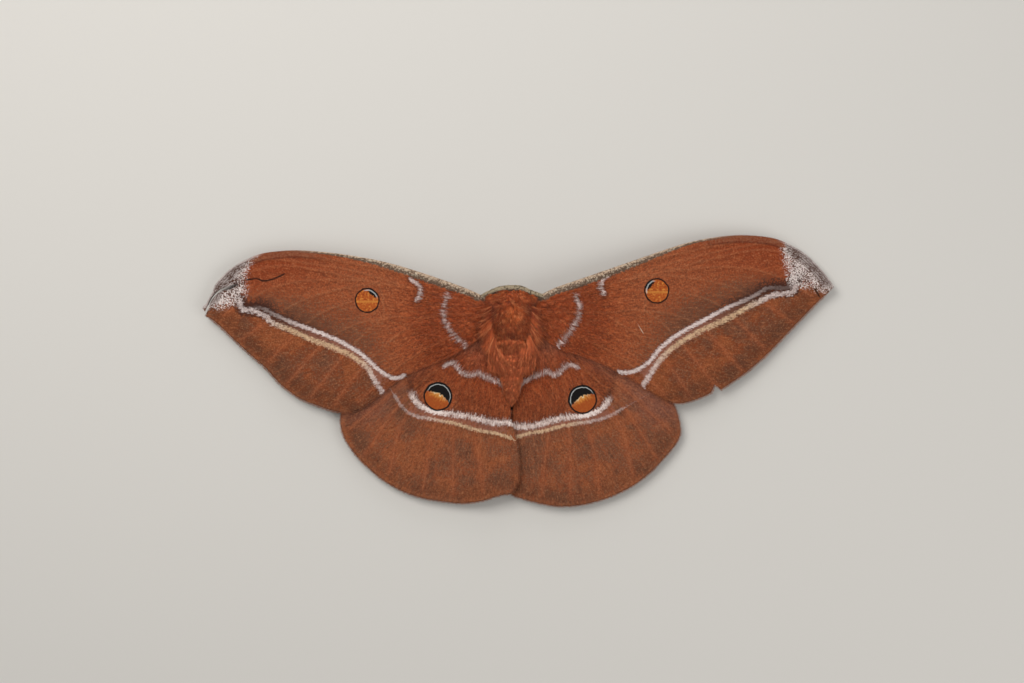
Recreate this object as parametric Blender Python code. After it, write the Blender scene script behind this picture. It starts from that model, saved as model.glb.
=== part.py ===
# Antheraea formosana: a still, life-size moth that rests with its wings spread flat.
# Metres, +Z up. The head points to +Y, +X is the moth's right, and the feet stand at z = 0.
# The named sizes are in millimetres, and MM turns them into metres where a mesh is made.

import math
import random

import bmesh
import bpy
from mathutils import Vector
from mathutils.geometry import delaunay_2d_cdt

MM = 0.001
GAP = 0.3
SMOOTH_BELOW = math.radians(40)
CURVE_STEPS = 12

# Body axis and the thorax, which everything else grows from. The locks stand on its core.
BODY_X = -1.4
THORAX_FRONT = 16.6
THORAX_REAR = 6.9
THORAX_MIDDLE = 11.8
THORAX_HALF_WIDTH = 4.3
THORAX_TOP = 10.2
THORAX_FLOOR = 3.1
THORAX_SIDES = 28

# Each row is y, bottom z, top z and half width of the thorax core.
THORAX_STATIONS = [
    (THORAX_FRONT, 8.2, 8.9, 1.5),
    (16.1, 7.4, 9.4, 2.8),
    (15.2, 6.8, 9.8, 3.7),
    (14.2, 6.5, 10.1, 4.1),
    (13.3, 4.0, THORAX_TOP, THORAX_HALF_WIDTH),
    (12.3, THORAX_FLOOR, THORAX_TOP, THORAX_HALF_WIDTH),
    (10.4, THORAX_FLOOR, THORAX_TOP, THORAX_HALF_WIDTH),
    (8.6, 3.3, 10.0, 4.1),
    (7.5, 3.6, 9.6, 3.8),
    (THORAX_REAR, 4.0, 9.2, 3.4),
]

# Coat of the thorax: rows of flat tapered locks that lie back over one another.
LOCK_WIDTH = 1.5
LOCK_THICKNESS = 0.62
LOCK_LENGTH = 3.0
LOCK_STAND = 0.85
LOCK_ROOT_DEPTH = 0.7
LOCK_SIDES = 6
LOCK_TAPER = (0.75, 1.0, 0.95, 0.68, 0.16)
LOCK_BEND = 0.55 * math.pi
LOCK_SEED = 11
LOCK_ROWS = (15.9, 14.7, 13.5, 12.3, 11.1, 9.9, 8.7)
LOCK_COLUMNS = (7, 6)
LOCK_COLLAR_ROWS = 2
LOCK_COLLAR_LEAN = math.radians(50)
LOCK_BACK_LEAN = math.radians(56)
LOCK_LEAN_DRAW = 0.05
LOCK_PLACE_DRAW = 0.15
LOCK_LENGTH_DRAW = 0.1
LOCK_FAN = 0.35
LOCK_DROOP = 0.12

# Long tufts at the thorax sides: y of the root, lean in degrees, length and spread outwards.
TUFTS = [
    (13.4, 50, 4.2, 0.95),
    (12.0, 52, 4.8, 0.75),
    (10.6, 54, 5.4, 0.55),
    (9.4, 54, 6.2, 0.42),
    (8.3, 46, 6.6, 0.3),
]
TUFT_WIDTH = LOCK_WIDTH * 1.05
TUFT_DROOP = 0.12
TUFT_ROOT_LEAN = 0.4

# Abdomen, a cone of ringed segments behind the thorax.
ABDOMEN_FRONT = THORAX_REAR - GAP
ABDOMEN_REAR = -7.3
ABDOMEN_HALF_WIDTH = 3.7
ABDOMEN_HALF_HEIGHT = 3.0
ABDOMEN_TIP_RADIUS = 0.5
ABDOMEN_TIP_FLATNESS = 0.8
ABDOMEN_HEIGHT = 6.5
ABDOMEN_DROP = 0.8
ABDOMEN_TAPER = 1.7
ABDOMEN_SEGMENTS = 7
ABDOMEN_SWELL = ((0.0, 0.93), (0.45, 1.0), (0.9, 1.0))
ABDOMEN_SIDES = 22

# Head, tucked down under the front of the thorax.
HEAD_MIDDLE = 15.4
HEAD_HEIGHT = 4.2
HEAD_HALF_LENGTH = 1.6
HEAD_HALF_WIDTH = 1.6
HEAD_HALF_HEIGHT = 1.8
HEAD_CHEEK = 0.5
HEAD_POLE = 0.06
HEAD_ROWS = 10
HEAD_SIDES = 20
EYE_RADIUS = 1.35
EYE_BULGE = 1.0
EYE_ROWS = 5
EYE_SIDES = 16
PALP_ROOT = (0.6, HEAD_MIDDLE + 0.7, HEAD_HEIGHT - HEAD_HALF_HEIGHT * 0.9 - GAP)
PALP_ROUTE = [(0.0, 0.0, 0.0), (0.1, 0.2, -0.5), (0.15, 0.5, -0.9), (0.15, 0.8, -1.1)]
PALP_RADII = (0.32, 0.4, 0.36, 0.22)
PALP_SIDES = 8

# Antennae, swept out under the front edges of the forewings, with rays on both sides.
ANTENNA_ROOT = (HEAD_HALF_WIDTH + 0.15, HEAD_MIDDLE - 0.1, HEAD_HEIGHT + 1.75)
ANTENNA_ROUTE = [(0.0, 0.0, 0.0), (1.8, -0.9, -0.7), (4.6, -1.8, -1.2), (8.2, -2.1, -1.6),
                 (12.4, -1.4, -2.1)]
ANTENNA_STEPS = 18
ANTENNA_SIDES = 6
ANTENNA_FINE_STEP = 0.01
ANTENNA_WAY_STEPS = 9
ANTENNA_ROOT_RADIUS = 0.4
ANTENNA_TIP_RADIUS = 0.3
ANTENNA_RAYS = 13
ANTENNA_RAY_LENGTH = 2.1
ANTENNA_RAY_SHORTEST = 0.35
ANTENNA_RAY_SWELL = (0.12, 0.92)
ANTENNA_RAY_JOINT = 0.6
ANTENNA_RAY_RADIUS = 0.27
ANTENNA_RAY_OFFSET = 0.06
ANTENNA_RAY_LEAN = math.radians(28)
ANTENNA_RAY_DROOP = 0.12
ANTENNA_RAY_SIDES = 4
ANTENNA_RAY_TAPER = (1.0, 0.95, 0.55)
ANTENNA_FIRST_RAY = 0.16
ANTENNA_LAST_RAY = 0.96

# Each leg's root, trochanter, knee, ankle and toe: out from the body axis, along +Y and up.
LEGS = {
    "foreleg": [(1.5, 12.6, 2.75), (2.9, 13.7, 1.9), (6.4, 14.2, 2.8), (9.2, 15.2, 0.7), (12.9, 16.0, 0.26)],
    "midleg": [(2.2, 10.6, 2.75), (3.8, 10.5, 1.9), (8.2, 9.6, 3.2), (12.0, 8.8, 0.75), (16.4, 7.8, 0.26)],
    "hindleg": [(2.0, 8.9, 2.75), (3.4, 7.6, 1.9), (7.2, 3.4, 2.8), (9.8, -2.0, 0.75), (11.8, -7.2, 0.26)],
}
LEG_RADII = [0.62, 0.66, 0.5, 0.36, 0.27]
LEG_STEPS = [2, 4, 4, 5]
LEG_SIDES = 8

# The wings lie on one gently arched sheet, high at the thorax and low at the margins.
SHEET_LOW = 1.9
SHEET_HIGH = 5.9
SHEET_REACH = 48.0
FOREWING_LIFT = 1.5
FOREWING_TIP_DROP = 0.9
FOREWING_TIP_REACH = (38.0, 60.0)
HINDWING_OVERLAP_LIFT = 1.3
HINDWING_OVERLAP_SIDE = (3.0, 12.0)
HINDWING_OVERLAP_REAR = (-2.0, 7.0)
WING_THICKNESS = 0.5
VEIN_HEIGHT = 0.24
VEIN_UNDER_SHARE = 0.5
VEIN_HALF_WIDTH = 0.45
VEIN_STATION = 2.9
VEIN_TAPER = 4.0
VEIN_END_SHARE = 0.35
MARGIN_STATION = 1.7
MEMBRANE_STATION = 4.6
ROOT_STEPS = 4

# How close the points of a wing's membrane may lie to one another, to its veins and its margin.
POINT_ROOM = 0.5
VEIN_MARGIN_ROOM = 0.6
FOOT_MARGIN_ROOM = 0.35
FOOT_VEIN_ROOM = VEIN_HALF_WIDTH * 0.9
FOOT_POINT_ROOM = 0.4
MEMBRANE_ROOM = MEMBRANE_STATION * 0.42

# A wing's outline is a list of smooth stretches that meet at its corners, from the front of
# the root round to its rear. The root itself, from its front y to its rear y, is laid along
# the side of the thorax by the code. The landmarks carry the veins from the left to the right.
WINGS = {
    "forewing_left": {
        "outline": [
            [(-7.6, 15.4), (-10.9, 16.9), (-18.5, 19.6), (-25.6, 21.8), (-31.9, 23.2), (-38.6, 24.2),
             (-45.2, 24.7), (-49.7, 24.5), (-52.6, 24.1), (-55.2, 23.2), (-58.9, 21.2), (-61.8, 18.4),
             (-63.8, 15.5), (-65.0, 12.9)],
            [(-65.0, 12.9), (-64.5, 12.2)],
            [(-64.5, 12.2), (-63.4, 14.4), (-61.8, 16.6), (-59.5, 18.1), (-57.6, 18.2)],
            [(-57.6, 18.2), (-59.5, 16.8), (-61.2, 16.0), (-62.6, 14.9), (-63.4, 13.4), (-64.4, 11.3)],
            [(-64.4, 11.3), (-62.2, 9.8), (-59.0, 6.8), (-55.6, 3.6), (-52.0, 0.5), (-49.1, -2.7),
             (-45.2, -5.6), (-42.6, -6.7), (-39.0, -8.0), (-35.9, -8.6), (-33.6, -8.3), (-31.9, -7.6),
             (-28.3, -4.8), (-23.6, -1.2), (-16.7, 1.9), (-12.0, 4.2), (-8.6, 6.4)],
        ],
        "root": (14.4, 8.4),
        "landmarks": [(-6.1, 11.4), (-63.8, 12.4), (-36.0, -8.5)],
    },
    "forewing_right": {
        "outline": [
            [(4.8, 15.6), (7.7, 17.0), (12.3, 18.6), (21.5, 21.8), (30.7, 25.0), (35.3, 26.4), (39.9, 27.3),
             (44.5, 27.8), (49.1, 27.7), (53.0, 27.1), (56.3, 25.7), (58.9, 24.1), (61.5, 21.7),
             (63.5, 19.4), (65.0, 17.2)],
            [(65.0, 17.2), (61.5, 13.9), (57.3, 9.6), (52.3, 4.4), (49.1, 1.4), (45.8, -1.2), (43.1, -3.0),
             (41.7, -3.9)],
            [(41.7, -3.9), (40.6, -2.7), (39.7, -4.5)],
            [(39.7, -4.5), (37.6, -5.5), (35.3, -6.3), (33.0, -6.7), (31.1, -6.4), (28.4, -5.1),
             (23.8, -2.1), (18.3, 0.9), (13.2, 3.1), (8.6, 4.6), (5.8, 6.4)],
        ],
        "root": (14.4, 8.4),
        "landmarks": [(3.3, 11.4), (64.2, 16.6), (33.2, -6.6)],
    },
    "hindwing_left": {
        "outline": [
            [(-9.0, 11.4), (-15.0, 10.4), (-22.0, 7.4), (-28.5, 3.0), (-33.0, -2.6), (-35.6, -6.6),
             (-36.6, -10.0), (-36.1, -13.2), (-34.0, -16.7), (-31.4, -19.5), (-28.3, -22.2), (-24.1, -24.7),
             (-19.8, -26.2), (-15.7, -26.9), (-12.0, -27.3), (-7.8, -26.8), (-4.3, -25.7), (-1.6, -25.1)],
            [(-1.6, -25.1), (-0.3, -23.6), (0.1, -20.8), (0.0, -17.7), (-0.4, -14.6), (-1.2, -11.4),
             (-2.2, -8.8)],
            [(-2.2, -8.8), (-3.6, -6.2), (-4.7, -2.4), (-5.3, 1.5), (-5.5, 4.8)],
        ],
        "root": (10.8, 7.2),
        "landmarks": [(-6.1, 9.0), (-36.5, -11.5), (-7.0, -26.6)],
    },
    "hindwing_right": {
        "outline": [
            [(6.2, 11.4), (12.2, 10.2), (19.4, 7.0), (25.6, 2.6), (29.8, -3.2), (32.3, -7.6), (33.4, -12.2),
             (32.8, -14.5), (31.1, -16.8), (28.4, -19.8), (25.6, -22.3), (22.9, -24.1), (19.2, -25.9),
             (15.5, -27.1), (11.9, -27.8), (8.0, -27.9), (4.9, -27.4), (1.7, -26.6), (-1.0, -25.7)],
            [(-1.0, -25.7), (-2.6, -23.8), (-3.0, -20.8), (-2.9, -17.7), (-2.4, -14.0), (-1.6, -10.8),
             (-0.5, -8.6)],
            [(-0.5, -8.6), (0.8, -6.2), (1.9, -2.4), (2.5, 1.5), (2.7, 4.8)],
        ],
        "root": (10.8, 7.2),
        "landmarks": [(3.3, 9.0), (33.3, -12.0), (4.4, -27.3)],
    },
}

# The veins as they run on the left wings, each from its root or fork to the margin.
FOREWING_VEINS = [
    [(-7.2, 13.9), (-15.0, 17.3), (-24.0, 20.0), (-34.0, 22.0), (-44.0, 23.5)],
    [(-7.0, 12.8), (-13.0, 14.6), (-20.0, 16.6), (-28.0, 17.9), (-38.0, 20.0), (-49.0, 21.6), (-58.4, 19.3)],
    [(-23.0, 17.2), (-33.0, 20.3), (-44.0, 22.2), (-52.5, 23.1)],
    [(-31.0, 18.4), (-42.0, 18.6), (-51.0, 16.8), (-60.6, 11.4)],
    [(-28.0, 17.9), (-36.0, 16.8), (-46.0, 13.6), (-56.9, 6.4)],
    [(-28.4, 17.6), (-27.6, 14.0), (-27.4, 10.6)],
    [(-34.2, 14.2), (-42.0, 10.8), (-51.6, 1.6)],
    [(-27.4, 10.6), (-33.0, 9.6), (-39.5, 6.0), (-47.6, -2.8)],
    [(-7.0, 11.2), (-14.0, 11.4), (-21.0, 10.8), (-27.4, 10.6), (-34.0, 5.0), (-42.6, -5.4)],
    [(-19.5, 10.9), (-27.0, 5.4), (-34.0, -1.8), (-37.6, -7.0)],
    [(-7.2, 9.8), (-14.0, 6.9), (-22.0, 2.6), (-29.0, -3.0), (-32.8, -6.6)],
]
HINDWING_VEINS = [
    [(-7.6, 9.8), (-15.0, 8.4), (-23.0, 4.6), (-30.0, -1.4), (-34.0, -6.6)],
    [(-7.4, 8.8), (-12.5, 6.6), (-19.0, 1.6), (-27.0, -5.4), (-34.6, -12.0)],
    [(-11.0, 7.2), (-15.0, 1.8), (-19.0, -1.6), (-25.0, -7.6), (-31.6, -17.4)],
    [(-20.2, -5.4), (-24.0, -11.0), (-26.6, -21.0)],
    [(-16.4, -9.2), (-18.4, -16.0), (-19.6, -24.4)],
    [(-7.2, 7.9), (-10.6, 2.0), (-12.6, -5.2), (-13.4, -14.0), (-13.4, -25.4)],
    [(-10.4, 2.4), (-9.4, -8.0), (-8.2, -18.0), (-7.4, -24.8)],
    [(-15.0, 1.6), (-12.2, -1.2)],
]


# Lines and curves

def smooth_step(low, high, value):
    share = min(1.0, max(0.0, (value - low) / (high - low)))
    return share * share * (3.0 - 2.0 * share)


def smooth_line(points, spacing):
    """Points about `spacing` apart on a smooth curve through the given points."""
    points = [Vector(point) for point in points]
    padded = [points[0] * 2 - points[1]] + points + [points[-1] * 2 - points[-2]]
    fine = []
    for before, start, end, after in zip(padded, padded[1:], padded[2:], padded[3:]):
        for step in range(CURVE_STEPS):
            t = step / CURVE_STEPS
            fine.append(
                0.5 * (2 * start + (end - before) * t
                       + (2 * before - 5 * start + 4 * end - after) * t ** 2
                       + (3 * start - before - 3 * end + after) * t ** 3)
            )
    fine.append(points[-1])
    return even_line(fine, spacing)


def even_line(points, spacing):
    """The same line as points that lie about `spacing` apart."""
    lengths = [0.0]
    for start, end in zip(points, points[1:]):
        lengths.append(lengths[-1] + (end - start).length)
    count = max(1, round(lengths[-1] / spacing))
    even = []
    index = 0
    for step in range(count + 1):
        goal = lengths[-1] * step / count
        while index < len(points) - 2 and lengths[index + 1] < goal:
            index += 1
        stretch = lengths[index + 1] - lengths[index]
        even.append(points[index].lerp(points[index + 1], (goal - lengths[index]) / stretch))
    return even


def nearest_on_line(spot, line):
    """Distance from a point to a line of points, and the length along it to that place."""
    best = (float("inf"), 0.0)
    travelled = 0.0
    for start, end in zip(line, line[1:]):
        run = end - start
        share = min(1.0, max(0.0, (spot - start).dot(run) / run.length_squared))
        distance = (spot - start - run * share).length
        if distance < best[0]:
            best = (distance, travelled + run.length * share)
        travelled += run.length
    return best


def inside(spot, outline):
    crossings = 0
    for start, end in zip(outline, outline[1:] + outline[:1]):
        if (start.y > spot.y) != (end.y > spot.y):
            cross = start.x + (spot.y - start.y) / (end.y - start.y) * (end.x - start.x)
            crossings += cross > spot.x
    return crossings % 2 == 1


# Meshes

def material(name, colour, roughness):
    made = bpy.data.materials.new(name)
    made.use_nodes = True
    shader = made.node_tree.nodes["Principled BSDF"]
    shader.inputs["Base Color"].default_value = (*colour, 1.0)
    shader.inputs["Roughness"].default_value = roughness
    shader.inputs["Metallic"].default_value = 0.0
    return made


def add_object(name, vertices, faces, finish=None, parent=None):
    """A mesh object from points in millimetres, with its faces turned outwards."""
    mesh = bpy.data.meshes.new(name)
    mesh.from_pydata([Vector(point) * MM for point in vertices], [], faces)
    shell = bmesh.new()
    shell.from_mesh(mesh)
    bmesh.ops.recalc_face_normals(shell, faces=shell.faces)
    bmesh.ops.triangulate(shell, faces=[face for face in shell.faces if len(face.verts) > 3])
    shell.to_mesh(mesh)
    shell.free()
    made = bpy.data.objects.new(name, mesh)
    bpy.context.scene.collection.objects.link(made)
    mesh.shade_smooth()
    mesh.set_sharp_from_angle(angle=SMOOTH_BELOW)
    if finish:
        mesh.materials.append(finish)
    made.parent = parent
    return made


def ringed_shell(rings):
    """Vertices and faces of a closed skin over rings of points, with fans at both ends."""
    vertices = [point for ring in rings for point in ring]
    sides = len(rings[0])
    faces = []
    for row in range(len(rings) - 1):
        for side in range(sides):
            ahead = (side + 1) % sides
            faces.append((row * sides + side, row * sides + ahead,
                          (row + 1) * sides + ahead, (row + 1) * sides + side))
    for row in (0, len(rings) - 1):
        vertices.append(sum(rings[row], Vector()) / sides)
        centre = len(vertices) - 1
        for side in range(sides):
            faces.append((centre, row * sides + side, row * sides + (side + 1) % sides))
    return vertices, faces


def tube_rings(path, radii, sides, side_way=None, flatness=1.0):
    """Rings across a path, flattened in their second direction where flatness is below one."""
    rings = []
    for index, point in enumerate(path):
        ahead = path[min(index + 1, len(path) - 1)]
        behind = path[max(index - 1, 0)]
        along = (ahead - behind).normalized()
        if side_way is None:
            side_way = along.cross(Vector((0, 0, 1)))
        side_way = (side_way - along * side_way.dot(along)).normalized()
        up_way = side_way.cross(along)
        ring = []
        for side in range(sides):
            turn = math.tau * (side + 0.5) / sides
            ring.append(point + radii[index] * (side_way * math.cos(turn)
                                                + up_way * math.sin(turn) * flatness))
        rings.append(ring)
    return rings


def fuse(core, pieces):
    """Join a core and many closed pieces in one union and keep its largest closed surface."""
    group = bpy.data.collections.new(core.name + "_pieces")
    bpy.context.scene.collection.children.link(group)
    for piece in pieces:
        group.objects.link(piece)
    union = core.modifiers.new("union", 'BOOLEAN')
    union.operation = 'UNION'
    union.operand_type = 'COLLECTION'
    union.collection = group
    union.solver = 'EXACT'
    fused = bpy.data.meshes.new_from_object(core.evaluated_get(bpy.context.evaluated_depsgraph_get()))
    core.modifiers.remove(union)
    for piece in pieces:
        bpy.data.objects.remove(piece)
    bpy.data.collections.remove(group)
    shell = bmesh.new()
    shell.from_mesh(fused)
    bmesh.ops.triangulate(shell, faces=shell.faces)
    keep_largest(shell)
    shell.to_mesh(fused)
    shell.free()
    fused.shade_smooth()
    fused.set_sharp_from_angle(angle=SMOOTH_BELOW)
    core.data = fused


def keep_largest(shell):
    """Drop every closed surface of a mesh but the one with the most faces."""
    left = set(shell.faces)
    surfaces = []
    while left:
        surface = [left.pop()]
        for face in surface:
            for edge in face.edges:
                for neighbour in edge.link_faces:
                    if neighbour in left:
                        left.remove(neighbour)
                        surface.append(neighbour)
        surfaces.append(surface)
    surfaces.sort(key=len)
    for surface in surfaces[:-1]:
        bmesh.ops.delete(shell, geom=surface, context='FACES')


# Body

def body_rings(stations, sides):
    """Rings round the body axis, one for each row of y, bottom z, top z and half width."""
    rings = []
    for y, bottom, top, half_width in stations:
        ring = []
        for side in range(sides):
            turn = math.tau * side / sides
            ring.append(Vector((BODY_X + half_width * math.cos(turn), y,
                                (bottom + top) / 2 + (top - bottom) / 2 * math.sin(turn))))
        rings.append(ring)
    return rings


def thorax_section(y):
    """Bottom z, top z and half width of the thorax core at a place along it."""
    for first, second in zip(THORAX_STATIONS, THORAX_STATIONS[1:]):
        if first[0] >= y >= second[0]:
            share = (first[0] - y) / (first[0] - second[0])
            return [a + (b - a) * share for a, b in zip(first[1:], second[1:])]
    return None


def thorax_half_width(y, z):
    bottom, top, half_width = thorax_section(y)
    up = (z - (bottom + top) / 2) / ((top - bottom) / 2)
    return half_width * math.sqrt(max(0.0, 1.0 - up * up))


def thorax_spot(y, lean):
    """A point on the thorax core and the way out of it, at a lean from straight up."""
    bottom, top, half_width = thorax_section(y)
    half_height = (top - bottom) / 2
    middle = (bottom + top) / 2
    spot = Vector((BODY_X + half_width * math.sin(lean), y, middle + half_height * math.cos(lean)))
    out = Vector((half_height * math.sin(lean), 0.0, half_width * math.cos(lean))).normalized()
    return spot, out


def make_lock(name, spot, out, lie, length, width):
    """A flat lock that leaves the skin, bends over to the lie of the coat and tapers."""
    path = []
    radii = []
    for step, taper in enumerate(LOCK_TAPER):
        share = step / (len(LOCK_TAPER) - 1)
        rise = -LOCK_ROOT_DEPTH + (LOCK_ROOT_DEPTH + LOCK_STAND) * math.sin(share * LOCK_BEND)
        path.append(spot + out * rise + lie * length * share)
        radii.append(width / 2 * taper)
    across = lie.cross(out)
    rings = tube_rings(path, radii, LOCK_SIDES, across, LOCK_THICKNESS / width)
    vertices, faces = ringed_shell(rings)
    return add_object(name, vertices, faces)


def thorax_locks():
    """Rows of locks over the back, a fringe at the collar and long tufts over the wing roots."""
    draw = random.Random(LOCK_SEED)
    locks = []
    for row, y in enumerate(LOCK_ROWS):
        columns = LOCK_COLUMNS[row % 2]
        reach = LOCK_COLLAR_LEAN if row < LOCK_COLLAR_ROWS else LOCK_BACK_LEAN
        for column in range(columns):
            lean = reach * (2 * column / (columns - 1) - 1) + draw.uniform(-LOCK_LEAN_DRAW, LOCK_LEAN_DRAW)
            spot, out = thorax_spot(y + draw.uniform(-LOCK_PLACE_DRAW, LOCK_PLACE_DRAW), lean)
            lie = Vector((LOCK_FAN * math.sin(lean), -1.0, -LOCK_DROOP * out.z))
            lie = (lie - out * lie.dot(out)).normalized()
            length = LOCK_LENGTH * draw.uniform(1 - LOCK_LENGTH_DRAW, 1 + LOCK_LENGTH_DRAW)
            locks.append(make_lock("lock", spot, out, lie, length, LOCK_WIDTH))
    for side in (-1, 1):
        for y, lean, length, spread in TUFTS:
            spot, out = thorax_spot(y, side * math.radians(lean))
            lie = Vector((side * spread, -1.0, -TUFT_DROOP)).normalized()
            level = Vector((out.x * TUFT_ROOT_LEAN, 0.0, 1.0)).normalized()
            locks.append(make_lock("tuft", spot, level, lie, length, TUFT_WIDTH))
    return locks


def make_thorax(finish, parent):
    vertices, faces = ringed_shell(body_rings(THORAX_STATIONS, THORAX_SIDES))
    thorax = add_object("thorax", vertices, faces, finish, parent)
    fuse(thorax, thorax_locks())


def make_abdomen(finish, parent):
    """Segments that each swell a little and step in at their rear edge."""
    stations = []
    length = ABDOMEN_FRONT - ABDOMEN_REAR
    for segment in range(ABDOMEN_SEGMENTS):
        for inside_share, swell in ABDOMEN_SWELL:
            share = (segment + inside_share) / ABDOMEN_SEGMENTS
            taper = math.sqrt(1.0 - share ** ABDOMEN_TAPER)
            half_width = max(ABDOMEN_TIP_RADIUS, ABDOMEN_HALF_WIDTH * taper * swell)
            half_height = max(ABDOMEN_TIP_RADIUS, ABDOMEN_HALF_HEIGHT * taper * swell)
            middle = ABDOMEN_HEIGHT - ABDOMEN_DROP * share
            stations.append((ABDOMEN_FRONT - length * share, middle - half_height,
                             middle + half_height, half_width))
    end = ABDOMEN_HEIGHT - ABDOMEN_DROP
    end_half = ABDOMEN_TIP_RADIUS * ABDOMEN_TIP_FLATNESS
    stations.append((ABDOMEN_REAR, end - end_half, end + end_half, ABDOMEN_TIP_RADIUS))
    vertices, faces = ringed_shell(body_rings(stations, ABDOMEN_SIDES))
    add_object("abdomen", vertices, faces, finish, parent)


def side_route(root, steps, side):
    """A route on one side of the body, from its root's offset and its steps from there."""
    start = Vector(root)
    route = [start + Vector(step) for step in steps]
    return [Vector((BODY_X + side * point.x, point.y, point.z)) for point in route]


def make_head(finish, parent):
    """A rounded head whose flat sides carry the eyes."""
    rings = []
    for row in range(HEAD_ROWS + 1):
        along = math.cos(math.pi * (HEAD_POLE + (1.0 - 2.0 * HEAD_POLE) * row / HEAD_ROWS))
        reach = math.sqrt(1.0 - along * along)
        ring = []
        for side in range(HEAD_SIDES):
            turn = math.tau * side / HEAD_SIDES
            across = math.cos(turn) * reach * (HEAD_HALF_WIDTH + HEAD_CHEEK)
            across = max(-HEAD_HALF_WIDTH, min(HEAD_HALF_WIDTH, across))
            ring.append(Vector((BODY_X + across, HEAD_MIDDLE + along * HEAD_HALF_LENGTH,
                                HEAD_HEIGHT + math.sin(turn) * reach * HEAD_HALF_HEIGHT)))
        rings.append(ring)
    vertices, faces = ringed_shell(rings)
    add_object("head", vertices, faces, finish, parent)


def make_eye(side_name, side, finish, parent):
    """A dome that stands on the flat side of the head."""
    rings = []
    base = HEAD_HALF_WIDTH + GAP
    for row in range(EYE_ROWS):
        turn = math.pi / 2 * row / EYE_ROWS
        radius = EYE_RADIUS * math.cos(turn)
        x = BODY_X + side * (base + EYE_BULGE * math.sin(turn))
        rings.append([
            Vector((x, HEAD_MIDDLE + radius * math.cos(math.tau * spoke / EYE_SIDES),
                    HEAD_HEIGHT + radius * math.sin(math.tau * spoke / EYE_SIDES)))
            for spoke in range(EYE_SIDES)
        ])
    vertices, faces = ringed_shell(rings)
    vertices[-1] = Vector((BODY_X + side * (base + EYE_BULGE), HEAD_MIDDLE, HEAD_HEIGHT))
    add_object("eye_" + side_name, vertices, faces, finish, parent)


def make_palp(side_name, side, finish, parent):
    """A short feeler that hangs forward under the face."""
    path = side_route(PALP_ROOT, PALP_ROUTE, side)
    vertices, faces = ringed_shell(tube_rings(path, PALP_RADII, PALP_SIDES))
    add_object("palp_" + side_name, vertices, faces, finish, parent)


def make_antenna(side_name, side, finish, parent):
    """A shaft with a ray on each side at every step, longest in the middle."""
    whole = smooth_line(side_route(ANTENNA_ROOT, ANTENNA_ROUTE, side), ANTENNA_FINE_STEP)
    path = [whole[round(step * (len(whole) - 1) / ANTENNA_STEPS)] for step in range(ANTENNA_STEPS + 1)]
    radii = [ANTENNA_ROOT_RADIUS + (ANTENNA_TIP_RADIUS - ANTENNA_ROOT_RADIUS) * step / ANTENNA_STEPS
             for step in range(ANTENNA_STEPS + 1)]
    vertices, faces = ringed_shell(tube_rings(path, radii, ANTENNA_SIDES))
    antenna = add_object("antenna_" + side_name, vertices, faces, finish, parent)
    rays = []
    for ray in range(ANTENNA_RAYS):
        share = ANTENNA_FIRST_RAY + (ANTENNA_LAST_RAY - ANTENNA_FIRST_RAY) * ray / (ANTENNA_RAYS - 1)
        place = share * (len(whole) - 1)
        spot = whole[round(place)]
        ahead = whole[min(len(whole) - 1, round(place) + ANTENNA_WAY_STEPS)]
        along = (ahead - whole[round(place) - ANTENNA_WAY_STEPS]).normalized()
        level = along.cross(Vector((0, 0, 1))).normalized()
        swell = ANTENNA_RAY_SWELL[0] + (ANTENNA_RAY_SWELL[1] - ANTENNA_RAY_SWELL[0]) * share
        longer = (1.0 - ANTENNA_RAY_SHORTEST) * math.sin(math.pi * swell)
        length = ANTENNA_RAY_LENGTH * (ANTENNA_RAY_SHORTEST + longer)
        for turn in (-1, 1):
            way = (level * turn * math.cos(ANTENNA_RAY_LEAN) + along * math.sin(ANTENNA_RAY_LEAN))
            way = (way - Vector((0, 0, ANTENNA_RAY_DROOP))).normalized()
            root = spot + along * ANTENNA_RAY_OFFSET * turn
            route = [root, root + way * length * ANTENNA_RAY_JOINT, root + way * length]
            widths = [ANTENNA_RAY_RADIUS * taper for taper in ANTENNA_RAY_TAPER]
            vertices, faces = ringed_shell(tube_rings(route, widths, ANTENNA_RAY_SIDES, along))
            rays.append(add_object("ray", vertices, faces))
    fuse(antenna, rays)


def make_leg(name, side_name, side, finish, parent):
    """A jointed tube from the thorax floor out to a toe that lies flat on the ground."""
    joints = LEGS[name]
    path = []
    radii = []
    for index, count in enumerate(LEG_STEPS):
        start = Vector(joints[index])
        end = Vector(joints[index + 1])
        for step in range(count):
            path.append(start.lerp(end, step / count))
            radii.append(LEG_RADII[index] + (LEG_RADII[index + 1] - LEG_RADII[index]) * step / count)
    path.append(Vector(joints[-1]))
    radii.append(LEG_RADII[-1])
    path = [Vector((BODY_X + side * point.x, point.y, point.z)) for point in path]
    rings = tube_rings(path, radii, LEG_SIDES)
    for ring in rings:
        for spot in ring:
            spot.z = max(spot.z, 0.0)
    for spot in rings[0]:
        spot.z = THORAX_FLOOR - GAP
    vertices, faces = ringed_shell(rings)
    add_object(name + "_" + side_name, vertices, faces, finish, parent)


# Wings

def sheet_height(x, y):
    """Height of the arched sheet that the wings lie on."""
    away = math.hypot(x - BODY_X, y - THORAX_MIDDLE)
    return SHEET_LOW + (SHEET_HIGH - SHEET_LOW) * (1.0 - smooth_step(0.0, SHEET_REACH, away))


def wing_height(name, x, y):
    """Forewings lie above hindwings, and behind the body the left hindwing above the right."""
    if name.startswith("forewing"):
        away = math.hypot(x - BODY_X, y - THORAX_MIDDLE)
        return sheet_height(x, y) + FOREWING_LIFT - FOREWING_TIP_DROP * smooth_step(*FOREWING_TIP_REACH, away)
    if name == "hindwing_left":
        near_axis = 1.0 - smooth_step(*HINDWING_OVERLAP_SIDE, abs(x - BODY_X))
        behind = smooth_step(*HINDWING_OVERLAP_REAR, -y)
        return sheet_height(x, y) + HINDWING_OVERLAP_LIFT * near_axis * behind
    return sheet_height(x, y)


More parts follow.
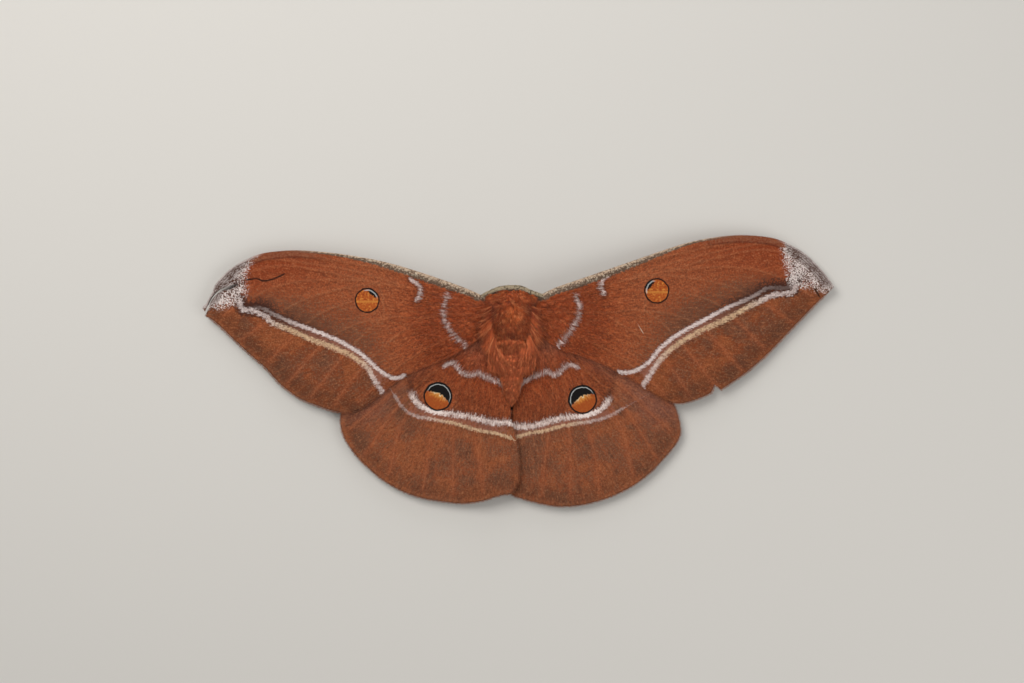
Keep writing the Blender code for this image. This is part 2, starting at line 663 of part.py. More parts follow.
def root_line(name):
    """The wing's edge beside the thorax, from rear to front, a gap away from its side."""
    front, rear = WINGS[name]["root"]
    side = math.copysign(1.0, WINGS[name]["outline"][0][0][0] - BODY_X)
    line = []
    for step in range(ROOT_STEPS + 1):
        y = rear + (front - rear) * step / ROOT_STEPS
        middle = wing_height(name, BODY_X + side * THORAX_HALF_WIDTH, y)
        widest = max(thorax_half_width(y, middle + WING_THICKNESS * up) for up in (-0.8, 0.0, 0.8))
        line.append(Vector((BODY_X + side * (widest + GAP), y)))
    return line


def wing_margin(name):
    """The whole outline as evenly spaced points, without repeating its first one."""
    root = root_line(name)
    stretches = [[Vector(point) for point in stretch] for stretch in WINGS[name]["outline"]]
    stretches[0].insert(0, root[-1])
    stretches[-1].append(root[0])
    margin = []
    for stretch in stretches:
        margin.extend(smooth_line(stretch, MARGIN_STATION)[:-1])
    return margin + root[:-1]


def carried_over(point, here, there):
    """A point given by three landmarks of one wing, moved to the same place on another."""
    root, tip, corner = (Vector(mark) for mark in here)
    first = tip - root
    second = corner - root
    reach = Vector(point) - root
    whole = first.x * second.y - first.y * second.x
    along = (reach.x * second.y - reach.y * second.x) / whole
    across = (first.x * reach.y - first.y * reach.x) / whole
    root, tip, corner = (Vector(mark) for mark in there)
    return root + (tip - root) * along + (corner - root) * across


def wing_veins(name):
    """The wing's veins as smooth lines with a crest point at every station."""
    kind = name.split("_")[0]
    here = WINGS[kind + "_left"]["landmarks"]
    there = WINGS[name]["landmarks"]
    table = FOREWING_VEINS if kind == "forewing" else HINDWING_VEINS
    return [
        smooth_line([carried_over(point, here, there) for point in vein], VEIN_STATION)
        for vein in table
    ]


def vein_rise(spot, veins):
    """How far the membrane is raised at a point by the veins beside it."""
    rise = 0.0
    for vein in veins:
        distance, travelled = nearest_on_line(spot, vein)
        if distance < VEIN_HALF_WIDTH:
            length = sum((end - start).length for start, end in zip(vein, vein[1:]))
            grown = smooth_step(0.0, VEIN_TAPER, length - travelled)
            taper = VEIN_END_SHARE + (1.0 - VEIN_END_SHARE) * grown
            rise = max(rise, VEIN_HEIGHT * (1.0 - distance / VEIN_HALF_WIDTH) * taper)
    return rise


def wing_points(margin, veins):
    """Points and fixed edges for the membrane: its margin, its veins and a loose grid."""
    points = list(margin)
    count = len(margin)
    edges = [(index, (index + 1) % count) for index in range(count)]
    closed = margin + margin[:1]
    for vein in veins:
        last = None
        for crest in vein:
            if not inside(crest, margin) or nearest_on_line(crest, closed)[0] < VEIN_MARGIN_ROOM:
                last = None
                continue
            near = [place for place, point in enumerate(points) if (point - crest).length < POINT_ROOM]
            twin = near[0] if near else None
            if twin is None:
                points.append(crest)
                twin = len(points) - 1
            if last is not None and last != twin:
                edges.append((last, twin))
            last = twin
    for vein in veins:
        for index, crest in enumerate(vein):
            along = (vein[min(index + 1, len(vein) - 1)] - vein[max(index - 1, 0)]).normalized()
            for side in (-1, 1):
                foot = crest + Vector((-along.y, along.x)) * VEIN_HALF_WIDTH * side
                clear = inside(foot, margin) and nearest_on_line(foot, closed)[0] > FOOT_MARGIN_ROOM
                clear = clear and min(nearest_on_line(foot, other)[0] for other in veins) > FOOT_VEIN_ROOM
                if clear and min((foot - point).length for point in points) > FOOT_POINT_ROOM:
                    points.append(foot)
    across = min(point.x for point in margin) + MEMBRANE_STATION / 2
    while across < max(point.x for point in margin):
        up = min(point.y for point in margin) + MEMBRANE_STATION / 2
        while up < max(point.y for point in margin):
            spot = Vector((across, up))
            if inside(spot, margin) and min((spot - point).length for point in points) > MEMBRANE_ROOM:
                points.append(spot)
            up += MEMBRANE_STATION
        across += MEMBRANE_STATION
    return points, edges


def make_wing(name, finish, parent):
    """A thin sheet split alike above and below, with its veins raised in both faces."""
    veins = wing_veins(name)
    points, edges = wing_points(wing_margin(name), veins)
    flat, _, triangles, _, _, _ = delaunay_2d_cdt(points, edges, [], 1, 1e-4)
    top = []
    bottom = []
    for point in flat:
        middle = wing_height(name, point.x, point.y)
        rise = vein_rise(point, veins)
        top.append(Vector((point.x, point.y, middle + WING_THICKNESS / 2 + rise)))
        bottom.append(Vector((point.x, point.y, middle - WING_THICKNESS / 2 - rise * VEIN_UNDER_SHARE)))
    count = len(top)
    faces = []
    rims = set()
    for a, b, c in triangles:
        faces.append((a, b, c))
        faces.append((a + count, c + count, b + count))
        rims.update(((a, b), (b, c), (c, a)))
    for a, b in sorted(rims):
        if (b, a) not in rims:
            faces.append((a, a + count, b + count))
            faces.append((a, b + count, b))
    add_object(name, top + bottom, faces, finish, parent)


def build():
    for thing in list(bpy.data.objects):
        bpy.data.objects.remove(thing)

    fur = material("body_fur", (0.42, 0.15, 0.05), 0.85)
    scales = material("wing_scales", (0.30, 0.10, 0.05), 0.75)
    lens = material("eye_lens", (0.03, 0.02, 0.02), 0.2)
    horn = material("feeler_horn", (0.45, 0.24, 0.12), 0.6)
    leg_fur = material("leg_fur", (0.35, 0.15, 0.07), 0.8)

    moth = bpy.data.objects.new("moth", None)
    bpy.context.scene.collection.objects.link(moth)

    make_thorax(fur, moth)
    make_abdomen(fur, moth)
    make_head(fur, moth)
    for side_name, side in (("left", -1), ("right", 1)):
        make_eye(side_name, side, lens, moth)
        make_palp(side_name, side, fur, moth)
        make_antenna(side_name, side, horn, moth)
        for name in LEGS:
            make_leg(name, side_name, side, leg_fur, moth)
    for name in WINGS:
        make_wing(name, scales, moth)


build()
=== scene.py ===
# Looks of a still, life-size Antheraea formosana moth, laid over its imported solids.
import math

import bmesh
import bpy
import numpy as np
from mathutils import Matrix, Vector
from mathutils.geometry import delaunay_2d_cdt


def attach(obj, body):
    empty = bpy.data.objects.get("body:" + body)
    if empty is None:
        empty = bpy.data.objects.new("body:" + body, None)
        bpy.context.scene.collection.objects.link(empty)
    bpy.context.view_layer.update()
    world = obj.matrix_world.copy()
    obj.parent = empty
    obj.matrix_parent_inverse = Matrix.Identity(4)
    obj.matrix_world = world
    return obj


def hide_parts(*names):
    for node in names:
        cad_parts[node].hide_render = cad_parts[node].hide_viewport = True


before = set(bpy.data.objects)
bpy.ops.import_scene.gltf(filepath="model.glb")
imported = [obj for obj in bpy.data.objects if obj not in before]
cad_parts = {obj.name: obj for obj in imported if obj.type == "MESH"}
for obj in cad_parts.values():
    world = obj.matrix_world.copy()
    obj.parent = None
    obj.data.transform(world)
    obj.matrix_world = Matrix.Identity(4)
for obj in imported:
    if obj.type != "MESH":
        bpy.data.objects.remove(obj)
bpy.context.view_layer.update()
mm = 0.001  # every size below is in millimetres until a mesh is made

# where the body lies; the same sizes as the solids
body = {"axis": -1.4, "middle": 11.8}


def smoothStep(low, high, value):
    share = np.clip((value - low) / (high - low), 0.0, 1.0)
    return share * share * (3.0 - 2.0 * share)


def smoothCurve(points, spacing):
    # even points on a smooth curve through a few hand-set ones
    points = np.array(points, float)
    padded = np.vstack([2 * points[0] - points[1], points, 2 * points[-1] - points[-2]])
    share = np.linspace(0.0, 1.0, 16, endpoint=False)[:, None]
    runs = []
    for before, start, end, after in zip(padded, padded[1:], padded[2:], padded[3:]):
        runs.append(0.5 * (2 * start + (end - before) * share
                           + (2 * before - 5 * start + 4 * end - after) * share ** 2
                           + (3 * start - before - 3 * end + after) * share ** 3))
    fine = np.vstack(runs + [points[-1:]])
    return evenCurve(fine, spacing)


def evenCurve(fine, spacing):
    travelled = np.concatenate([[0.0], np.cumsum(np.linalg.norm(np.diff(fine, axis=0), axis=1))])
    count = max(1, round(travelled[-1] / spacing))
    goals = np.linspace(0.0, travelled[-1], count + 1)
    return np.column_stack([np.interp(goals, travelled, fine[:, k]) for k in range(fine.shape[1])])


def lineField(spots, line):
    # distance to a line, its sign (+ to the line's left) and the share of its length, at each spot
    line = np.array(line, float)
    travelled = np.concatenate([[0.0], np.cumsum(np.linalg.norm(np.diff(line, axis=0), axis=1))])
    best = np.full(len(spots), np.inf)
    sign = np.ones(len(spots))
    share = np.zeros(len(spots))
    for k in range(len(line) - 1):
        run = line[k + 1] - line[k]
        reach = spots - line[k]
        along = np.clip((reach @ run) / (run @ run), 0.0, 1.0)
        away = np.linalg.norm(reach - along[:, None] * run, axis=1)
        nearer = away < best - 1e-9
        cross = run[0] * reach[:, 1] - run[1] * reach[:, 0]
        best = np.where(nearer, away, best)
        sign = np.where(nearer, np.sign(cross), sign)
        share = np.where(nearer, (travelled[k] + along * np.linalg.norm(run)) / travelled[-1], share)
    return best, sign, share


def insideOutline(spots, outline):
    crossings = np.zeros(len(spots), int)
    for start, end in zip(outline, np.roll(outline, -1, axis=0)):
        spans = (start[1] > spots[:, 1]) != (end[1] > spots[:, 1])
        rise = end[1] - start[1] if end[1] != start[1] else 1.0
        cross = start[0] + (spots[:, 1] - start[1]) / rise * (end[0] - start[0])
        crossings += spans & (cross > spots[:, 0])
    return crossings % 2 == 1


# Colours are written as 0 to 255 screen values and turned into what the shaders take.
def tone(red, green, blue):
    screen = np.array([red, green, blue]) / 255.0
    linear = np.where(screen <= 0.04045, screen / 12.92, ((screen + 0.055) / 1.055) ** 2.4)
    return (*linear.tolist(), 1.0)


def worked(kind, swapped=False):
    def result(level, other=None):
        first, second = (other, level) if swapped else (level, other)
        return level.paint.math(kind, first, second)
    return result


class Level:
    # a number that varies over a surface; sums and products of it are written as usual

    def __init__(self, paint, socket):
        self.paint = paint
        self.socket = socket

    __add__ = worked('ADD')
    __radd__ = worked('ADD', True)
    __sub__ = worked('SUBTRACT')
    __rsub__ = worked('SUBTRACT', True)
    __mul__ = worked('MULTIPLY')
    __rmul__ = worked('MULTIPLY', True)
    __truediv__ = worked('DIVIDE')
    __abs__ = worked('ABSOLUTE')


def namedTones(table):
    return {key: tone(*value) for key, value in table.items()}


class Paint:
    # a material whose colour is laid on in layers

    def __init__(self, name):
        self.material = bpy.data.materials.new(name)
        self.material.use_nodes = True
        self.nodes = self.material.node_tree.nodes
        self.links = self.material.node_tree.links
        self.shader = self.nodes["Principled BSDF"]
        self.place = self.nodes.new("ShaderNodeTexCoord").outputs["Object"]

    def plug(self, socket, value):
        if isinstance(value, Level):
            value = value.socket
        if isinstance(value, bpy.types.NodeSocket):
            self.links.new(value, socket)
        elif value is not None:
            socket.default_value = value

    def field(self, name):
        node = self.nodes.new("ShaderNodeAttribute")
        node.attribute_name = name
        return Level(self, node.outputs["Fac"])

    def places(self):
        # where each spot of the piece lies along x, y and z, in metres
        node = self.nodes.new("ShaderNodeSeparateXYZ")
        self.links.new(self.place, node.inputs[0])
        return [Level(self, socket) for socket in node.outputs]

    def math(self, kind, first, second=None):
        node = self.nodes.new("ShaderNodeMath")
        node.operation = kind
        self.plug(node.inputs[0], first)
        self.plug(node.inputs[1], second)
        return Level(self, node.outputs[0])

    def rise(self, value, low, high):
        # 0 below low, 1 above high, smooth between; swapped limits make it fall
        node = self.nodes.new("ShaderNodeMapRange")
        node.interpolation_type = 'SMOOTHSTEP'
        node.inputs["From Min"].default_value = min(low, high)
        node.inputs["From Max"].default_value = max(low, high)
        node.inputs["To Min"].default_value = 0.0 if high > low else 1.0
        node.inputs["To Max"].default_value = 1.0 if high > low else 0.0
        self.plug(node.inputs["Value"], value)
        return Level(self, node.outputs[0])

    def noise(self, scale, detail=2.0, roughness=0.5, vector=None):
        node = self.nodes.new("ShaderNodeTexNoise")
        node.inputs["Scale"].default_value = scale
        node.inputs["Detail"].default_value = detail
        node.inputs["Roughness"].default_value = roughness
        self.plug(node.inputs["Vector"], self.place if vector is None else vector)
        return Level(self, node.outputs["Fac"])

    def vector(self, x=0.0, y=0.0, z=0.0):
        node = self.nodes.new("ShaderNodeCombineXYZ")
        for socket, value in zip(node.inputs, (x, y, z)):
            self.plug(socket, value)
        return node.outputs[0]

    def mix(self, share, first, second):
        node = self.nodes.new("ShaderNodeMix")
        node.data_type = 'RGBA'
        self.plug(node.inputs[0], share)
        self.plug(node.inputs[6], first)
        self.plug(node.inputs[7], second)
        return node.outputs[2]

    def bump(self, height, strength, distance):
        node = self.nodes.new("ShaderNodeBump")
        node.inputs["Strength"].default_value = strength
        node.inputs["Distance"].default_value = distance
        self.plug(node.inputs["Height"], height)
        self.links.new(node.outputs[0], self.shader.inputs["Normal"])

    def finish(self, colour, roughness, sheen=0.0, specular=0.15):
        self.plug(self.shader.inputs["Base Color"], colour)
        self.plug(self.shader.inputs["Roughness"], roughness)
        self.shader.inputs["Specular IOR Level"].default_value = specular
        self.shader.inputs["Sheen Weight"].default_value = sheen
        self.shader.inputs["Sheen Roughness"].default_value = 0.4
        return self.material


def addObject(name, data):
    thing = bpy.data.objects.new(name, data)
    bpy.context.scene.collection.objects.link(thing)
    return thing


def newPiece(name, mesh, material, slot, *nodes):
    # a finished piece that rides on the one body and may stand for some of its nodes
    piece = addObject(name, mesh)
    if material:
        mesh.materials.clear()
        mesh.materials.append(material)
    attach(piece, "root")
    if nodes:
        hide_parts(*nodes)
    return piece


def plainMesh(holder):
    # what the object's modifiers make of it, as a mesh of its own
    bpy.context.view_layer.update()
    mesh = bpy.data.meshes.new_from_object(holder.evaluated_get(bpy.context.evaluated_depsgraph_get()))
    bpy.data.objects.remove(holder)
    return mesh


def meshFrom(name, points, faces):
    mesh = bpy.data.meshes.new(name)
    mesh.from_pydata((np.array(points, float) * mm).tolist(), [], faces)
    mesh.validate()
    mesh.shade_smooth()
    return mesh


def vertexSpots(mesh):
    spots = np.empty(len(mesh.vertices) * 3, np.float32)
    mesh.vertices.foreach_get("co", spots)
    return spots.reshape(-1, 3) / mm


def storeFields(mesh, domain='POINT', **fields):
    # numbers, places in the plane or places in space, for each point or corner
    for key, values in fields.items():
        values = np.array(values, np.float32)
        if values.ndim == 2 and values.shape[1] == 2:
            values = np.column_stack([values, np.zeros(len(values), np.float32)])
        kind, slot = ('FLOAT', "value") if values.ndim == 1 else ('FLOAT_VECTOR', "vector")
        if key in mesh.attributes:
            mesh.attributes.remove(mesh.attributes[key])
        mesh.attributes.new(key, kind, domain).data.foreach_set(slot, values.ravel())


def storeTwice(mesh, fields):
    # the same values for the upper and the lower face of a sheet
    storeFields(mesh, **{key: np.tile(values, 2) for key, values in fields.items()})


def storeUpright(mesh):
    storeFields(mesh, out=np.tile((0.0, 0.0, 1.0), (len(mesh.vertices), 1)))


def sideOf(name):
    return -1.0 if name.endswith("left") else 1.0


def joinShells(shells):
    # closed shells as one set of points and faces
    points, faces = [], []
    for some, more in shells:
        faces.extend([tuple(k + len(points) for k in face) for face in more])
        points.extend(some)
    return points, faces


def closedMesh(name, points, faces):
    # closed shells with all their faces turned outwards
    mesh = meshFrom(name, points, faces)
    shell = bmesh.new()
    shell.from_mesh(mesh)
    bmesh.ops.recalc_face_normals(shell, faces=shell.faces)
    shell.to_mesh(mesh)
    shell.free()
    return mesh


print("stage: helpers ready")


# The sheet that the wings lie on, with the sizes of the solids.
sheet = {"low": 1.9, "high": 5.9, "reach": 48.0, "foreLift": 1.5, "foreTipDrop": 0.9, "overlapLift": 1.3}


def sheetHeight(name, x, y):
    away = np.hypot(x - body["axis"], y - body["middle"])
    height = sheet["low"] + (sheet["high"] - sheet["low"]) * (1.0 - smoothStep(0.0, sheet["reach"], away))
    if name.startswith("forewing"):
        height = height + sheet["foreLift"] - sheet["foreTipDrop"] * smoothStep(38.0, 60.0, away)
    if name == "hindwing_left":
        nearAxis = 1.0 - smoothStep(3.0, 12.0, np.abs(x - body["axis"]))
        height = height + sheet["overlapLift"] * nearAxis * smoothStep(-2.0, 7.0, -y)
    return height


# What each wing carries: its eyespot, its lines and the corners of its outer margin.
wings = {
    "forewing_left": {
        "landmarks": [(-6.1, 11.4), (-63.8, 12.4), (-36.0, -8.5)],
        "outer": [(-65.0, 12.8), (-35.2, -8.6)],
        "front": [(-7.6, 15.4), (-65.0, 12.8)],
        "spot": (-30.9, 14.4), "spotRadius": 2.52, "spotTurn": 52.0,
        "lilac": [(-57.3, 14.1), (-56.2, 12.6), (-52.9, 12.9), (-50.1, 11.5), (-46.5, 9.9), (-41.3, 8.0),
                  (-36.8, 6.1), (-32.3, 3.5), (-28.8, 0.4), (-25.7, -1.5), (-23.2, -1.0)],
        "cream": [(-57.3, 14.1), (-56.8, 12.6), (-54.9, 12.4), (-52.0, 11.2), (-50.7, 9.9), (-46.5, 8.2),
                  (-42.2, 6.3), (-37.5, 4.6), (-33.7, 2.8), (-30.7, 0.4), (-29.5, -1.9), (-27.6, -4.6)],
        "beyond": (-67.0, 12.6),
        "basal": [(-14.6, 15.6), (-15.3, 14.0), (-15.5, 12.0), (-15.2, 10.0), (-13.6, 7.2), (-12.0, 5.7),
                  (-11.0, 4.9)],
        "slit": [(-64.05, 12.7), (-63.1, 14.85), (-61.5, 16.4), (-59.3, 17.0), (-57.9, 17.8)],
        "crack": [[(-64.05, 12.7), (-63.1, 14.85), (-61.5, 16.4), (-59.3, 17.0), (-57.9, 17.8)],
                  [(-56.0, 18.65), (-53.8, 18.95), (-52.5, 18.45), (-50.4, 18.85), (-48.0, 19.9)]],
        "streak": [(-22.1, 18.7), (-20.9, 17.9), (-20.1, 16.8), (-20.2, 15.6), (-20.9, 14.4)],
        "frost": [(-55.4, 23.4), (-57.0, 20.4), (-57.2, 18.0), (-57.2, 16.4), (-60.0, 14.4),
                  (-65.6, 13.4)],
    },
    "forewing_right": {
        "landmarks": [(3.3, 11.4), (64.2, 16.6), (33.2, -6.6)],
        "outer": [(65.0, 17.2), (32.2, -6.7)],
        "front": [(4.8, 15.6), (65.0, 17.2)],
        "spot": (28.3, 16.35), "spotRadius": 2.56, "spotTurn": 140.0,
        "lilac": [(57.0, 18.2), (55.4, 17.0), (51.4, 17.0), (48.1, 15.2), (42.2, 12.6), (37.6, 10.1),
                  (33.0, 7.6), (29.3, 4.8), (26.5, 1.6), (23.3, -0.2), (20.4, -0.3)],
        "cream": [(57.0, 18.2), (56.6, 16.2), (52.7, 15.6), (49.5, 14.2), (46.7, 12.8), (42.2, 10.3),
                  (37.6, 8.3), (33.0, 5.7), (30.2, 3.4), (27.9, 0.7), (25.6, -3.0)],
        "beyond": (67.0, 16.8),
        "basal": [(12.0, 15.6), (12.65, 14.0), (12.85, 12.6), (12.2, 10.3), (11.0, 8.0), (9.3, 5.6),
                  (8.4, 4.9)],
        "crack": [[(61.05, 16.9), (62.1, 15.2)]],
        "scratch": [[(23.8, 10.3), (25.6, 7.6)]],
        "streak": [(18.6, 19.7), (17.5, 18.8), (17.0, 17.7), (17.2, 16.6), (17.7, 15.6)],
        "frost": [(55.4, 24.6), (56.4, 21.0), (56.8, 18.6), (60.4, 18.4), (62.0, 17.6), (65.6, 17.2)],
    },
    "hindwing_left": {
        "landmarks": [(-6.1, 9.0), (-36.5, -11.5), (-7.0, -26.6)],
        "outer": [(-33.0, -2.6), (-1.6, -25.1)],
        "front": [(-9.0, 11.4), (-33.0, -2.6)],
        "spot": (-16.45, -5.25), "spotRadius": 2.94, "spotTurn": 62.0,
        "lilac": [(-22.5, -3.2), (-22.2, -4.4), (-20.9, -6.5), (-18.8, -7.9), (-16.7, -8.5),
                  (-14.6, -8.8), (-12.0, -9.2), (-9.8, -9.5), (-7.1, -10.2), (-4.4, -10.7),
                  (-1.2, -10.6)],
        "cream": [(-25.4, -5.2), (-23.6, -7.7), (-21.3, -9.2), (-18.6, -9.8), (-15.7, -10.3),
                  (-13.0, -10.8), (-9.8, -11.8), (-6.7, -12.4), (-3.8, -13.0), (-1.5, -13.8)],
        "beyond": (-24.0, 6.0),
        "basal": [(-15.2, 0.9), (-13.9, 1.5), (-12.8, 0.9), (-12.0, -0.2), (-10.8, -0.9), (-9.4, -1.1),
                  (-8.4, -0.6), (-7.1, -1.4), (-5.0, -2.1), (-3.1, -3.0)],
        "scratch": [[(-1.7, -13.0), (-0.3, -15.7)]],
    },
    "hindwing_right": {
        "landmarks": [(3.3, 9.0), (33.3, -12.0), (4.4, -27.3)],
        "outer": [(29.8, -3.2), (-1.0, -25.7)],
        "front": [(6.2, 11.4), (29.8, -3.2)],
        "spot": (13.15, -5.85), "spotRadius": 2.94, "spotTurn": 118.0,
        "lilac": [(19.4, -4.4), (19.0, -5.6), (16.8, -8.0), (13.3, -9.3), (10.8, -9.5), (8.0, -10.0),
                  (4.9, -10.9), (2.0, -11.6), (-1.6, -11.3)],
        "cream": [(21.4, -7.8), (18.3, -9.5), (14.3, -10.5), (10.8, -11.0), (7.6, -11.7), (5.1, -12.4),
                  (2.4, -12.8), (-1.4, -14.0)],
        "beyond": (21.0, 6.0),
        "basal": [(12.2, 0.6), (10.7, 1.1), (9.4, 0.5), (8.4, -0.6), (7.2, -1.1), (6.1, -0.5),
                  (4.5, -0.9), (2.8, -1.5), (0.4, -2.8)],
    },
}

# The veins as they run on the left wings; landmarks carry them to the right ones.
veinTables = {
    "forewing": [
        [(-7.2, 13.9), (-15.0, 17.3), (-24.0, 20.0), (-34.0, 22.0), (-44.0, 23.5)],
        [(-7.0, 12.8), (-13.0, 14.6), (-20.0, 16.6), (-28.0, 17.9), (-38.0, 20.0), (-49.0, 21.6),
         (-58.4, 19.3)],
        [(-23.0, 17.2), (-33.0, 20.3), (-44.0, 22.2), (-52.5, 23.1)],
        [(-31.0, 18.4), (-42.0, 18.6), (-51.0, 16.8), (-60.6, 11.4)],
        [(-28.0, 17.9), (-36.0, 16.8), (-46.0, 13.6), (-56.9, 6.4)],
        [(-28.4, 17.6), (-27.6, 14.0), (-27.4, 10.6)],
        [(-34.2, 14.2), (-42.0, 10.8), (-51.6, 1.6)],
        [(-27.4, 10.6), (-33.0, 9.6), (-39.5, 6.0), (-47.6, -2.8)],
        [(-7.0, 11.2), (-14.0, 11.4), (-21.0, 10.8), (-27.4, 10.6), (-34.0, 5.0), (-42.6, -5.4)],
        [(-19.5, 10.9), (-27.0, 5.4), (-34.0, -1.8), (-37.6, -7.0)],
        [(-7.2, 9.8), (-14.0, 6.9), (-22.0, 2.6), (-29.0, -3.0), (-32.8, -6.6)],
    ],
    "hindwing": [
        [(-7.6, 9.8), (-15.0, 8.4), (-23.0, 4.6), (-30.0, -1.4), (-34.0, -6.6)],
        [(-7.4, 8.8), (-12.5, 6.6), (-19.0, 1.6), (-27.0, -5.4), (-34.6, -12.0)],
        [(-11.0, 7.2), (-15.0, 1.8), (-19.0, -1.6), (-25.0, -7.6), (-31.6, -17.4)],
        [(-20.2, -5.4), (-24.0, -11.0), (-26.6, -21.0)],
        [(-16.4, -9.2), (-18.4, -16.0), (-19.6, -24.4)],
        [(-7.2, 7.9), (-10.6, 2.0), (-12.6, -5.2), (-13.4, -14.0), (-13.4, -25.4)],
        [(-10.4, 2.4), (-9.4, -8.0), (-8.2, -18.0), (-7.4, -24.8)],
        [(-15.0, 1.6), (-12.2, -1.2)],
    ],
}

wingBuild = {
    "grid": 0.34, "edge": 0.34, "thickness": 0.5, "edgeThickness": 0.16, "edgeTaper": 1.3,
    "veinHeight": 0.16, "veinWidth": 0.22, "pleat": 0.1, "rootTuck": 1.5, "abdomenTuck": 2.0,
    "corner": 38.0,
    "rearDroop": 0.7,
    # the places along +Y that a wing's streaks and hairs spread from, one mm out from the axis
    "fanRoot": {"forewing": 11.5, "hindwing": 12.5}, "rootShade": {"forewing": 13.5, "hindwing": 15.5},
    "combTurns": {"forewing": 140.0, "hindwing": 85.0},
}


def kindOf(name):
    return name.split("_")[0]


def carriedOver(points, here, there):
    here = np.array(here)
    there = np.array(there)
    shares = np.linalg.solve(np.column_stack([here[1] - here[0], here[2] - here[0]]),
                             (np.array(points) - here[0]).T)
    return there[0] + shares.T @ np.array([there[1] - there[0], there[2] - there[0]])


def wingVeins(name):
    kind = kindOf(name)
    here = wings[kind + "_left"]["landmarks"]
    return [smoothCurve(carriedOver(vein, here, wings[name]["landmarks"]), 0.8)
            for vein in veinTables[kind]]


def frameOutline(name):
    # the wing's outline read from its solid: the edges between its upper face and its rim
    shell = bmesh.new()
    shell.from_mesh(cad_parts[name].data)
    bmesh.ops.remove_doubles(shell, verts=shell.verts, dist=1e-6)
    shell.normal_update()
    nextSpot = {}
    for face in shell.faces:
        if face.normal.z > 0.3:
            for loop in face.loops:
                other = [f for f in loop.edge.link_faces if f is not face]
                if other and abs(other[0].normal.z) < 0.2:
                    nextSpot[loop.vert] = loop.link_loop_next.vert
    start = next(iter(nextSpot))
    outline = [start]
    while nextSpot[outline[-1]] is not start:
        outline.append(nextSpot[outline[-1]])
    outline = np.array([vert.co[:2] for vert in outline]) / mm
    shell.free()
    return outline


def fineOutline(name):
    # the solid's outline with its long stretches rounded and its corners kept
    rough = frameOutline(name)
    ahead = np.roll(rough, -1, axis=0) - rough
    behind = rough - np.roll(rough, 1, axis=0)
    turn = np.degrees(np.abs(np.arctan2(behind[:, 0] * ahead[:, 1] - behind[:, 1] * ahead[:, 0],
                                        (ahead * behind).sum(axis=1))))
    corners = np.flatnonzero(turn > wingBuild["corner"])
    fine = []
    for first, last in zip(corners, np.roll(corners, -1)):
        last = last if last > first else last + len(rough)
        stretch = rough[np.arange(first, last + 1) % len(rough)]
        fine.append(smoothCurve(stretch, wingBuild["edge"])[:-1])
    fine = np.vstack(fine)
    if "slit" in wings[name]:
        # the banks of the slit in the tip, drawn together to a crack
        middle = smoothCurve(wings[name]["slit"], 0.1)
        gap = np.linalg.norm(fine[:, None] - middle[None], axis=2)
        nearest = np.argmin(gap, axis=1)
        pull = 0.5 * smoothStep(1.5, 0.9, gap.min(axis=1)) * smoothStep(0.0, 12.0, nearest)
        fine += (middle[nearest] - fine) * pull[:, None]
    side = np.sign(fine[:, 0].mean() - body["axis"])
    out = (fine[:, 0] - body["axis"]) * side
    tucked = (out < 5.4) & (fine[:, 1] > 6.6)
    fine[tucked, 0] -= side * wingBuild["rootTuck"] * smoothStep(5.4, 4.7, out[tucked])
    if name.startswith("hindwing"):
        inner = (out < 5.4) & (out > -1.0) & (fine[:, 1] < 6.6) & (fine[:, 1] > -11.0)
        goal = wingBuild["abdomenTuck"] * smoothStep(-11.0, 6.0, fine[inner, 1])
        shift = np.maximum(out[inner] - goal, 0.0) * smoothStep(-11.0, -7.5, fine[inner, 1])
        fine[inner, 0] -= side * shift
    return fine


def stretchBetween(outline, start, end):
    # the part of a closed outline between two places, the way that holds fewer steps
    first = np.argmin(np.linalg.norm(outline - start, axis=1))
    last = np.argmin(np.linalg.norm(outline - end, axis=1))
    count = len(outline)
    forward = (last - first) % count
    backward = (first - last) % count
    steps = np.arange(forward + 1) if forward <= backward else -np.arange(backward + 1)
    return outline[(first + steps) % count]


def wingFields(name, spots, outline):
    # everything that the wing's paint and coat need to know at each point of it
    wing = wings[name]
    side = sideOf(name)
    fields = {}
    fields["edge"] = lineField(spots, np.vstack([outline, outline[:1]]))[0]
    fields["outer"] = lineField(spots, stretchBetween(outline, *wing["outer"]))[0]
    fields["front"], _, fields["frontRun"] = lineField(spots, stretchBetween(outline, *wing["front"]))
    for key in ("lilac", "cream"):
        away, sign, fields[key + "Run"] = lineField(spots, smoothCurve(wing[key], 0.5))
        fields[key] = away * sign * side
    fields["basal"] = lineField(spots, smoothCurve(wing["basal"], 0.5))[0]
    for key in ("crack", "scratch"):
        if key in wing:
            fields[key] = np.min([lineField(spots, smoothCurve(line, 0.3))[0] for line in wing[key]],
                                 axis=0)
    border = wing["cream"] if "frost" in wing else wing["lilac"]
    border = smoothCurve([wing["beyond"]] + border, 0.5)
    away, sign, _ = lineField(spots, border)
    fields["field"] = away * sign * side
    fields["vein"] = np.min([lineField(spots, vein)[0] for vein in wingVeins(name)], axis=0)
    if "frost" in wing:
        fields["streak"] = lineField(spots, smoothCurve(wing["streak"], 0.4))[0]
        away, sign, _ = lineField(spots, smoothCurve(wing["frost"], 0.5))
        fields["frost"] = away * sign * side
    fields["spotX"] = (spots[:, 0] - wing["spot"][0]) / wing["spotRadius"]
    fields["spotY"] = (spots[:, 1] - wing["spot"][1]) / wing["spotRadius"]
    pivot = np.array([body["axis"] + side, wingBuild["fanRoot"][kindOf(name)]])
    fields["fan"] = np.arctan2(spots[:, 1] - pivot[1], (spots[:, 0] - pivot[0]) * side)
    fields["reach"] = np.linalg.norm(spots - pivot, axis=1)
    return fields


